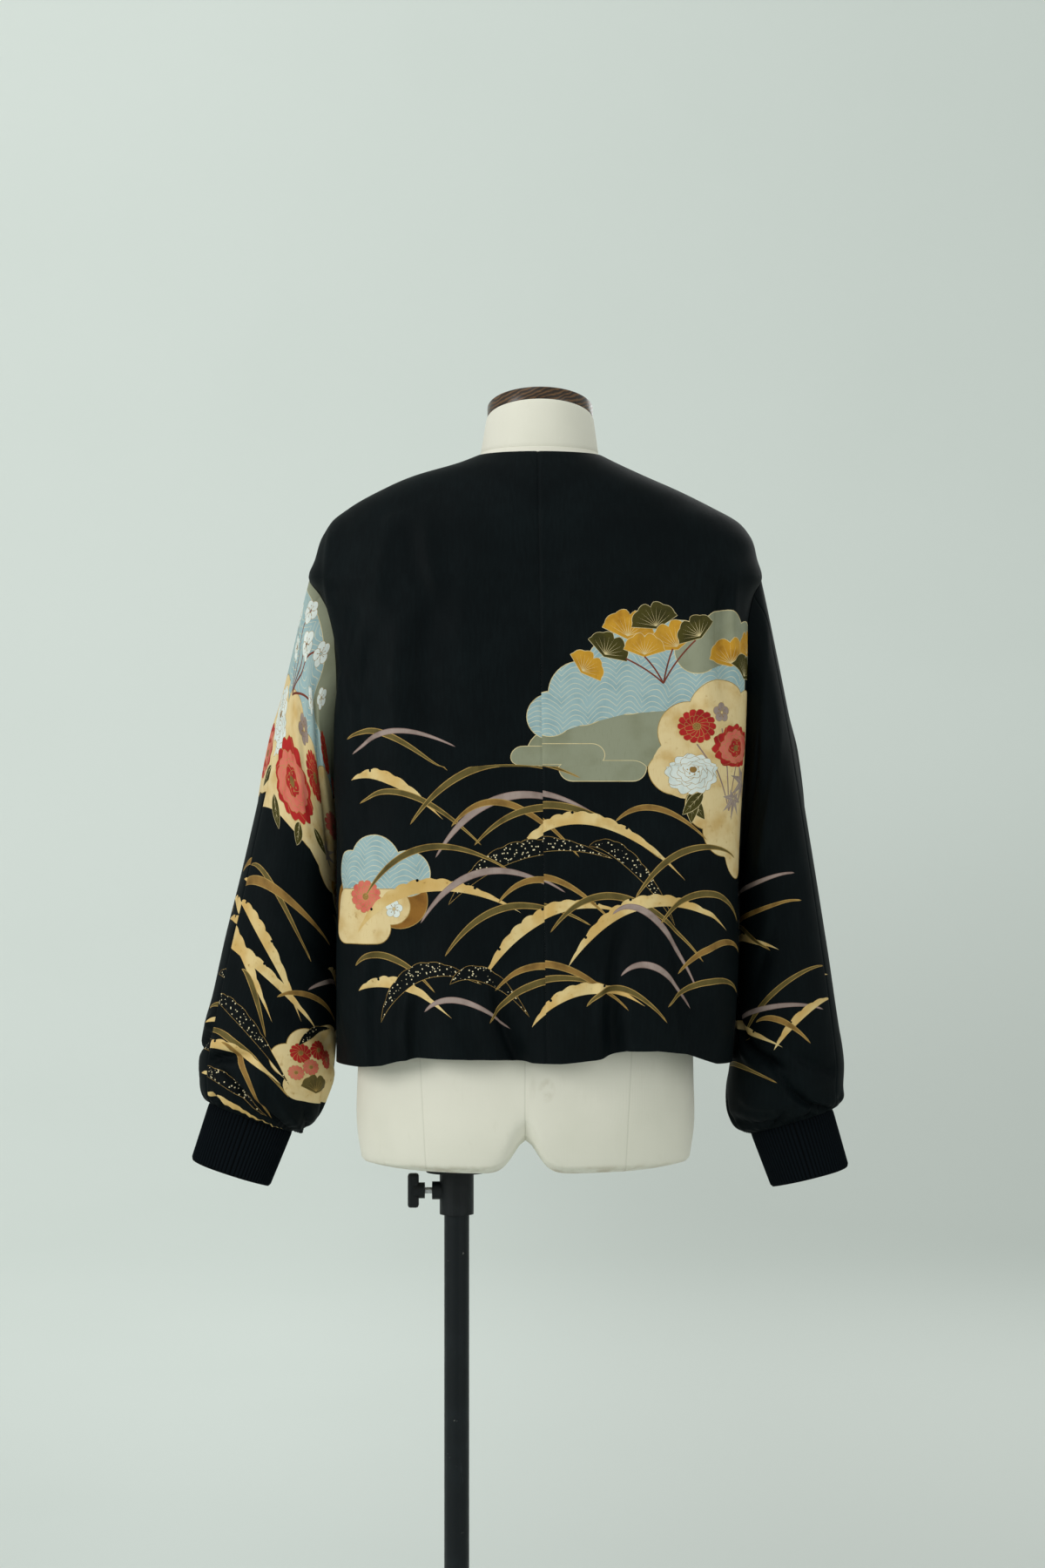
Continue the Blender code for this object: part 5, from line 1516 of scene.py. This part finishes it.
# Dress form
FORM_COLUMNS_PER_QUARTER = 60
TORSO_BOTTOM = 700 * MM
TORSO_EDGE_RISE = 11 * MM
TORSO_EDGE_POWER = 5
LEG_NOTCH_HEIGHT = 33 * MM
LEG_NOTCH_HALF_WIDTH = 16.5 * MM
LEG_NOTCH_POWER = 1.8
SEAT_DEPTH = 1.85 * MM
FRONT_EASE = 4 * MM
NECK_CENTRE_X = -14.5 * MM
NECK_TOP_CENTRE_Z = 1446.2 * MM
NECK_TOP_RADIUS = 53.4 * MM
CAP_RADIUS = 52.6 * MM
CAP_THICKNESS = 13.4 * MM
CAP_EDGE = 1.4 * MM
CAP_SIDES = 120
NECK_TILT = math.radians(17.5)
NECK_EASE = 3 * MM
NECK_SEAM_SHARE = 0.13
POLE_X = 68.7 * MM
BORE_RADIUS = 13.6 * MM
BORE_TOP = 1060 * MM
BORE_BELOW = 10 * MM
FORM_SHARP_ANGLE = math.radians(50)
CAP_SHARP_ANGLE = math.radians(60)
# The form's rings: shares of the way out over its underside, heights, and shares of the neck
BOTTOM_SHARES = (0.12, 0.25, 0.4, 0.55, 0.68, 0.78, 0.86, 0.92, 0.96, 0.985)
TORSO_FIRST_RING = 722 * MM
TORSO_RING_STEP = 9 * MM
SHOULDER_RINGS = (1316, 1330, 1344, 1355, 1366, 1377, 1388, 1398, 1405, 1409.4)
NECK_SEAM_HALF = 0.012
NECK_SHARES = (0.1, NECK_SEAM_SHARE - NECK_SEAM_HALF, NECK_SEAM_SHARE,
               NECK_SEAM_SHARE + NECK_SEAM_HALF,
               0.22, 0.34, 0.46, 0.58, 0.7, 0.82, 0.92, 0.97, 1.0)
NECK_SEAM_DIP = 0.45 * MM
NECK_TOP_ROUNDING = 0.8 * MM


def quarter_ring(quarter_point):
    """A closed ring from the centre back round by the left, one quarter at a time."""
    count = FORM_COLUMNS_PER_QUARTER
    shares = np.linspace(0, 1, count + 1)
    left_back, left_front = quarter_point(1, 1, shares), quarter_point(1, -1, shares[::-1])
    right_front, right_back = quarter_point(-1, -1, shares), quarter_point(-1, 1, shares[::-1])
    return np.concatenate([left_back[:-1], left_front[:-1], right_front[:-1], right_back[:-1]])


def torso_ring(z):
    sizes = {name: smooth_value(TORSO_LEVELS, name, z / MM) for name in TorsoLevel._fields[1:]}
    centre = (sizes["left"] - sizes["right"]) / 2 * MM
    half = (sizes["left"] + sizes["right"]) / 2 * MM

    def quarter(side, face, shares):
        c, s = oval(shares * math.pi / 2, sizes["square"])
        depth = (sizes["back"] if face > 0 else sizes["front"]) * MM
        return np.stack([centre + side * half * s, face * depth * c, np.full(len(shares), z)],
                        axis=1)
    return quarter_ring(quarter)


def shoulder_ring(z):
    """The form's shoulders, a seat gap inside the jacket's wall."""
    def quarter(side, face, shares):
        line = body_line(side, face, z)
        above = body_line(side, face, z + MM)
        along = np.gradient(line, axis=0)
        out = np.cross(along, above - line) * (-side * face)
        out /= np.maximum(np.linalg.norm(out, axis=1, keepdims=True), 1e-9)
        seat = line - out * SEAT_DEPTH * 1.15
        reach = line_reach(line)
        if face < 0:
            seat[:, 1] += FRONT_EASE * (1 - reach / reach[-1])
        return at_reach(seat, reach, shares * reach[-1])
    return quarter_ring(quarter)


def bottom_height(x):
    off_centre = abs(x / LEG_NOTCH_HALF_WIDTH)
    return TORSO_BOTTOM + LEG_NOTCH_HEIGHT * math.exp(-(off_centre**LEG_NOTCH_POWER))


def make_form(linen):
    """The limbless form's cloth-covered body, whole and smooth, bored for the pole."""
    edge = torso_ring(TORSO_LEVELS[0].height * MM)
    rings = []
    for share in BOTTOM_SHARES:
        ring = edge * [share, share, 1]
        rise = TORSO_EDGE_RISE * share**TORSO_EDGE_POWER
        ring[:, 2] = [bottom_height(p[0]) + rise for p in ring]
        rings.append(ring)
    edge[:, 2] = [max(p[2], bottom_height(p[0]) + TORSO_EDGE_RISE * 1.1) for p in edge]
    rings.append(edge)
    for z in even_between(TORSO_FIRST_RING, TORSO_LEVELS[-1].height * MM, TORSO_RING_STEP):
        ring = torso_ring(z)
        above = z - TORSO_LEVELS[0].height * MM
        ring[:, 2] = np.maximum(ring[:, 2], edge[:, 2] + above * 0.5)
        rings.append(ring)
    for z in SHOULDER_RINGS:
        rings.append(shoulder_ring(z * MM))
    base = rings[-1]
    middle = base.mean(axis=0)
    toward = middle - base
    toward[:, 2] = 0
    toward /= np.linalg.norm(toward, axis=1, keepdims=True)
    top = []
    for point in base:
        angle = math.atan2(point[0] - NECK_CENTRE_X, point[1])
        x = NECK_CENTRE_X + NECK_TOP_RADIUS * math.sin(angle)
        y = NECK_TOP_RADIUS * math.cos(angle)
        top.append([x, y * math.cos(NECK_TILT), NECK_TOP_CENTRE_Z + y * math.sin(NECK_TILT)])
    top = np.array(top)
    out = top - top.mean(axis=0)
    out /= np.linalg.norm(out, axis=1, keepdims=True)
    for share in NECK_SHARES:
        ring = (base + toward * NECK_EASE) * (1 - share) + top * share
        dip = NECK_SEAM_DIP if share == NECK_SEAM_SHARE else 0.0
        dip += NECK_TOP_ROUNDING * max(0, (share - 0.95) / 0.05) ** 2
        rings.append(ring - out * dip)
    grid = np.array(rings)
    rows, columns = grid.shape[:2]
    faces = []
    for row in range(rows - 1):
        for column in range(columns):
            beside = (column + 1) % columns
            faces.append([row * columns + column, row * columns + beside,
                          (row + 1) * columns + beside, (row + 1) * columns + column])
    faces.append([(rows - 1) * columns + column for column in range(columns)])
    points = grid.reshape(-1, 3).tolist() + [[0, 0, bottom_height(0)]]
    for column in range(columns):
        faces.append([(column + 1) % columns, column, len(points) - 1])
    mesh = mesh_of("form_cover", points, faces)
    outwards(mesh)
    mesh.materials.append(linen)
    cover = placed("form_cover", mesh)
    bore = upright("bore_tool", BORE_RADIUS, TORSO_BOTTOM - BORE_BELOW, BORE_TOP, linen)
    cut = cover.modifiers.new("bore", "BOOLEAN")
    cut.operation = "DIFFERENCE"
    cut.object = bore
    bored = evaluated_mesh(cover)
    cover.modifiers.clear()
    cover.data = bored
    bored.name = "form_cover"
    bpy.data.objects.remove(bore)
    bored.shade_smooth()
    bored.set_sharp_from_angle(angle=FORM_SHARP_ANGLE)
    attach(cover, "form")
    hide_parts("form_torso")
    return cover


def upright(name, radius, low, high, material, sides=48):
    """A cylinder round the pole's axis between two heights."""
    shell = bmesh.new()
    bmesh.ops.create_cone(shell, cap_ends=True, segments=sides, radius1=radius, radius2=radius,
                          depth=high - low)
    bmesh.ops.translate(shell, vec=(POLE_X, 0, (low + high) / 2), verts=shell.verts)
    mesh = bpy.data.meshes.new(name)
    shell.to_mesh(mesh)
    shell.free()
    mesh.materials.append(material)
    return placed(name, mesh)


def turned_cap(wood):
    """The turned cap on the slanted neck, its rims a little rounded."""
    bends = np.linspace(0, math.pi / 2, 5)
    profile = [(0.0, 0.0)]
    for a in bends:
        inset, height = CAP_EDGE * (1 - math.sin(a)), CAP_EDGE * (1 - math.cos(a))
        profile.append((CAP_RADIUS - inset, height))
    for a in bends:
        inset, below = CAP_EDGE * (1 - math.cos(a)), CAP_EDGE * (1 - math.sin(a))
        profile.append((CAP_RADIUS - inset, CAP_THICKNESS - below))
    profile.append((0.0, CAP_THICKNESS))
    points = []
    for radius, height in profile:
        for k in range(CAP_SIDES if radius > 0 else 1):
            angle = 2 * math.pi * k / CAP_SIDES
            y = radius * math.cos(angle)
            points.append([
                NECK_CENTRE_X + radius * math.sin(angle),
                y * math.cos(NECK_TILT) - height * math.sin(NECK_TILT),
                NECK_TOP_CENTRE_Z + y * math.sin(NECK_TILT) + height * math.cos(NECK_TILT),
            ])
    faces = []
    last = len(points) - 1
    for k in range(CAP_SIDES):
        beside = (k + 1) % CAP_SIDES
        faces.append([0, 1 + beside, 1 + k])
        faces.append([last, last - CAP_SIDES + k, last - CAP_SIDES + beside])
        for row in range(len(profile) - 3):
            low = 1 + row * CAP_SIDES
            faces.append([low + k, low + beside, low + CAP_SIDES + beside, low + CAP_SIDES + k])
    mesh = mesh_of("turned_neck_cap", points, faces)
    outwards(mesh)
    mesh.materials.append(wood)
    mesh.set_sharp_from_angle(angle=CAP_SHARP_ANGLE)
    cap = placed("turned_neck_cap", mesh)
    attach(cap, "form")
    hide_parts("form_neck_cap")


# The cover's upright seams: where each lies at the form's lower edge, and its lean
FORM_SEAMS = ((96.5 * MM, 0.05), (0.5 * MM, 0.0), (-97 * MM, -0.05))
FORM_SEAM_FOOT = 0.7
SMUDGE_X = 20.5 * MM
SMUDGE_Z = 787.5 * MM


def linen_finish():
    """Cream cotton over the form: plain weave, fine vertical seams, faint marks."""
    finish = Finish("form_cloth", (236, 232, 217), 0.9, specular=0.2)
    x, y, z = finish.axes()
    finish.colour(finish.noise(9, 3.0).soft(0.4, 0.85) * 0.5, (216, 214, 196))
    finish.colour(finish.noise(70, 4.0, (1, 1, 0.3)).soft(0.62, 0.9) * 0.35, (206, 200, 178))
    seam = None
    for place, lean in FORM_SEAMS:
        off = (x - place - (z - FORM_SEAM_FOOT) * lean).size()
        line = off.soft(0.0009, 0.0003)
        seam = line if seam is None else seam + line
    seam = seam * z.soft(1.36, 1.3)
    finish.colour(seam * 0.17, (160, 156, 134))
    rub = z.soft(0.716, 0.702) * finish.noise(60, 4.0).soft(0.38, 0.62)
    finish.colour(rub * 0.55, (168, 142, 104))
    aside, above = x + SMUDGE_X, z - SMUDGE_Z
    smudge = (aside * aside + above * above * 0.5).soft(0.00009, 0.00001) * y.soft(0.02, 0.05)
    finish.colour(smudge * finish.noise(110, 3.0).soft(0.3, 0.7) * 0.3, (178, 166, 130))
    threads = (x * 5200).sine() + (z * 5200).sine() + (y * 5200).sine()
    finish.bump(threads * 0.25 + finish.noise(700, 2.0), 0.35, 0.00015)
    finish.bump(seam * -1, 0.4, 0.0004)
    finish.set("Sheen Weight", 0.1)
    return finish.material


def wood_finish():
    """Dark turned walnut under a worn varnish, its grain across the cap."""
    finish = Finish("wood", (42, 28, 16), 0.36, specular=0.35)
    x, _, z = finish.axes()
    drift = finish.noise(34, 3.0)
    grain = (((z + x * 0.42) * 1500 + drift * 26).sine() * 0.28
             + finish.noise(240, 5.0, (0.3, 1.0, 1.6)) * 0.5 + 0.25)
    pores = finish.noise(900, 3.0, (0.3, 1.0, 1.0), 0.7)
    finish.colour(grain.soft(0.36, 0.66), (76, 52, 29))
    # The lightest tone follows the grain and a slow drift. It is partly the wood's own light
    # grain and partly a painted highlight of the varnish.
    finish.colour((grain * 0.6 + drift * 0.4).soft(0.5, 0.68) * 0.8, (112, 78, 43))
    finish.colour(pores.soft(0.56, 0.7) * 0.75, (40, 22, 13))
    finish.rough(grain, 0.24, 0.46)
    finish.bump(pores * 0.6 + grain, 0.25, 0.0004)
    finish.set("Coat Weight", 0.35)
    finish.set("Coat Roughness", 0.22)
    return finish.material


def painted_finish():
    """Black paint on steel tube, with fine upright scratches and rubbed spots."""
    finish = Finish("black_paint", (14, 20, 23), 0.42, specular=0.22)
    finish.colour(finish.noise(28, 4.0).soft(0.45, 0.8), (22, 29, 32))
    scratch = finish.noise(260, 3.0, (1.0, 1.0, 0.045), 0.6).soft(0.66, 0.73)
    spots = finish.noise(150, 4.0).soft(0.7, 0.75)
    finish.colour(scratch * 0.6, (92, 98, 98))
    finish.colour(spots * 0.8, (116, 116, 110))
    finish.rough(finish.noise(90, 4.0), 0.3, 0.55)
    finish.bump(finish.noise(900, 2.0) - scratch, 0.2, 0.0002)
    return finish.material


def plastic_finish():
    """Moulded black plastic with a fine grain."""
    finish = Finish("black_plastic", (14, 18, 20), 0.46, specular=0.25)
    finish.colour(finish.noise(60, 3.0).soft(0.4, 0.8), (22, 27, 29))
    finish.rough(finish.noise(200, 3.0), 0.38, 0.56)
    finish.bump(finish.noise(1600, 2.0), 0.3, 0.0002)
    return finish.material


def steel_finish():
    """Bright steel with turned rings and a few dull spots."""
    finish = Finish("bright_steel", (196, 198, 200), 0.28, 1.0)
    x, _, _ = finish.axes()
    finish.colour(finish.noise(300, 3.0).soft(0.55, 0.8), (150, 152, 154))
    finish.rough(finish.noise(200, 3.0), 0.2, 0.4)
    finish.bump((x * 7000).sine() + finish.noise(900, 2.0), 0.4, 0.0001)
    return finish.material


def finish_cad_nodes(nodes):
    """The hard pieces keep their solids and get their finishes."""
    paint, plastic = painted_finish(), plastic_finish()
    for name, material in (("form_clamp", plastic), ("clamp_knob", plastic),
                           ("clamp_bolt", steel_finish()),
                           ("pole", paint), ("stand_base", paint)):
        for slot in nodes[name].material_slots:
            slot.material = material


# The backdrop in metres: its floor runs on behind the camera, and bends up into the wall
STAGE_WIDTH = 14.0
STAGE_FRONT = 7.0
STAGE_BEND = -4.4
STAGE_BEND_RADIUS = 3.0
STAGE_HEIGHT = 8.0
# Square soft lights: name, place, target, size in metres and power in watts
LIGHTS = (
    ("key_light", (2.9, 2.1, 2.2), (0, 0, 1.1), 1.7, 55),
    ("fill_light", (-2.6, 2.8, 1.9), (0, 0, 1.1), 2.4, 26),
    ("top_light", (0.6, 0.7, 3.4), (0, 0, 1.0), 1.4, 8),
    ("wall_light", (2.6, -3.2, 4.6), (0.9, -7.4, 1.6), 3.0, 98),
    ("far_wall_light", (-2.6, -3.2, 4.6), (-0.9, -7.4, 1.6), 3.0, 28),
    ("hidden_side_light", (-1.5, -3.0, 2.7), (0, 0, 1.1), 2.2, 26),
)
WORLD_COLOUR = (0.86, 0.93, 0.9, 1)
WORLD_STRENGTH = 0.5
CAMERA_PLACE = (0.003, 3.4, 1.083)
CAMERA_LENS = 78.2
CAMERA_SENSOR_WIDTH = 36


def softbox(name, place, target, size, power):
    light = bpy.data.lights.new(name, "AREA")
    light.shape, light.size, light.energy, light.color = "SQUARE", size, power, (1, 1, 1)
    thing = placed(name, light)
    thing.location = place
    aim = Vector(target) - Vector(place)
    thing.rotation_euler = aim.to_track_quat("-Z", "Y").to_euler()


def stage():
    """A pale seamless floor and wall, soft studio light and the camera."""
    profile = [(STAGE_FRONT, 0.0)]
    for a in np.linspace(0, math.pi / 2, 24):
        profile.append((STAGE_BEND - STAGE_BEND_RADIUS * math.sin(a),
                        STAGE_BEND_RADIUS - STAGE_BEND_RADIUS * math.cos(a)))
    profile.append((STAGE_BEND - STAGE_BEND_RADIUS, STAGE_HEIGHT))
    points, faces = [], []
    for y, z in profile:
        points += [(-STAGE_WIDTH / 2, y, z), (STAGE_WIDTH / 2, y, z)]
    for i in range(len(profile) - 1):
        faces.append([2 * i, 2 * i + 1, 2 * i + 3, 2 * i + 2])
    mesh = mesh_of("studio_floor", points, faces)
    mesh.shade_smooth()
    paper = Finish("studio_paper", (219, 225, 220), 0.9, specular=0.2)
    paper.colour(paper.noise(1.5, 2.0).soft(0.4, 0.9) * 0.3, (213, 220, 214))
    x, _, z = paper.axes()
    # Painted shade: the paper is darker low down and towards -X.
    paper.colour(z.soft(1.4, 0.1) * x.soft(0.6, -0.5), (204, 209, 204))
    mesh.materials.append(paper.material)
    floor = placed("studio_floor", mesh)
    for light in LIGHTS:
        softbox(*light)

    world = bpy.data.worlds.new("studio")
    world.use_nodes = True
    world.node_tree.nodes["Background"].inputs[0].default_value = WORLD_COLOUR
    world.node_tree.nodes["Background"].inputs[1].default_value = WORLD_STRENGTH
    bpy.context.scene.world = world

    lens = bpy.data.cameras.new("camera")
    lens.lens, lens.sensor_width = CAMERA_LENS, CAMERA_SENSOR_WIDTH
    camera = placed("camera", lens)
    camera.location = CAMERA_PLACE
    camera.rotation_euler = (math.radians(90), 0, math.radians(180))
    bpy.context.scene.camera = camera
    bpy.context.scene.view_settings.view_transform = "Standard"


def main():
    stage()
    panels = make_panels()
    cuffs = make_cuffs(knit_finish())
    form = make_form(linen_finish())
    turned_cap(wood_finish())
    finish_cad_nodes(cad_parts)


main()
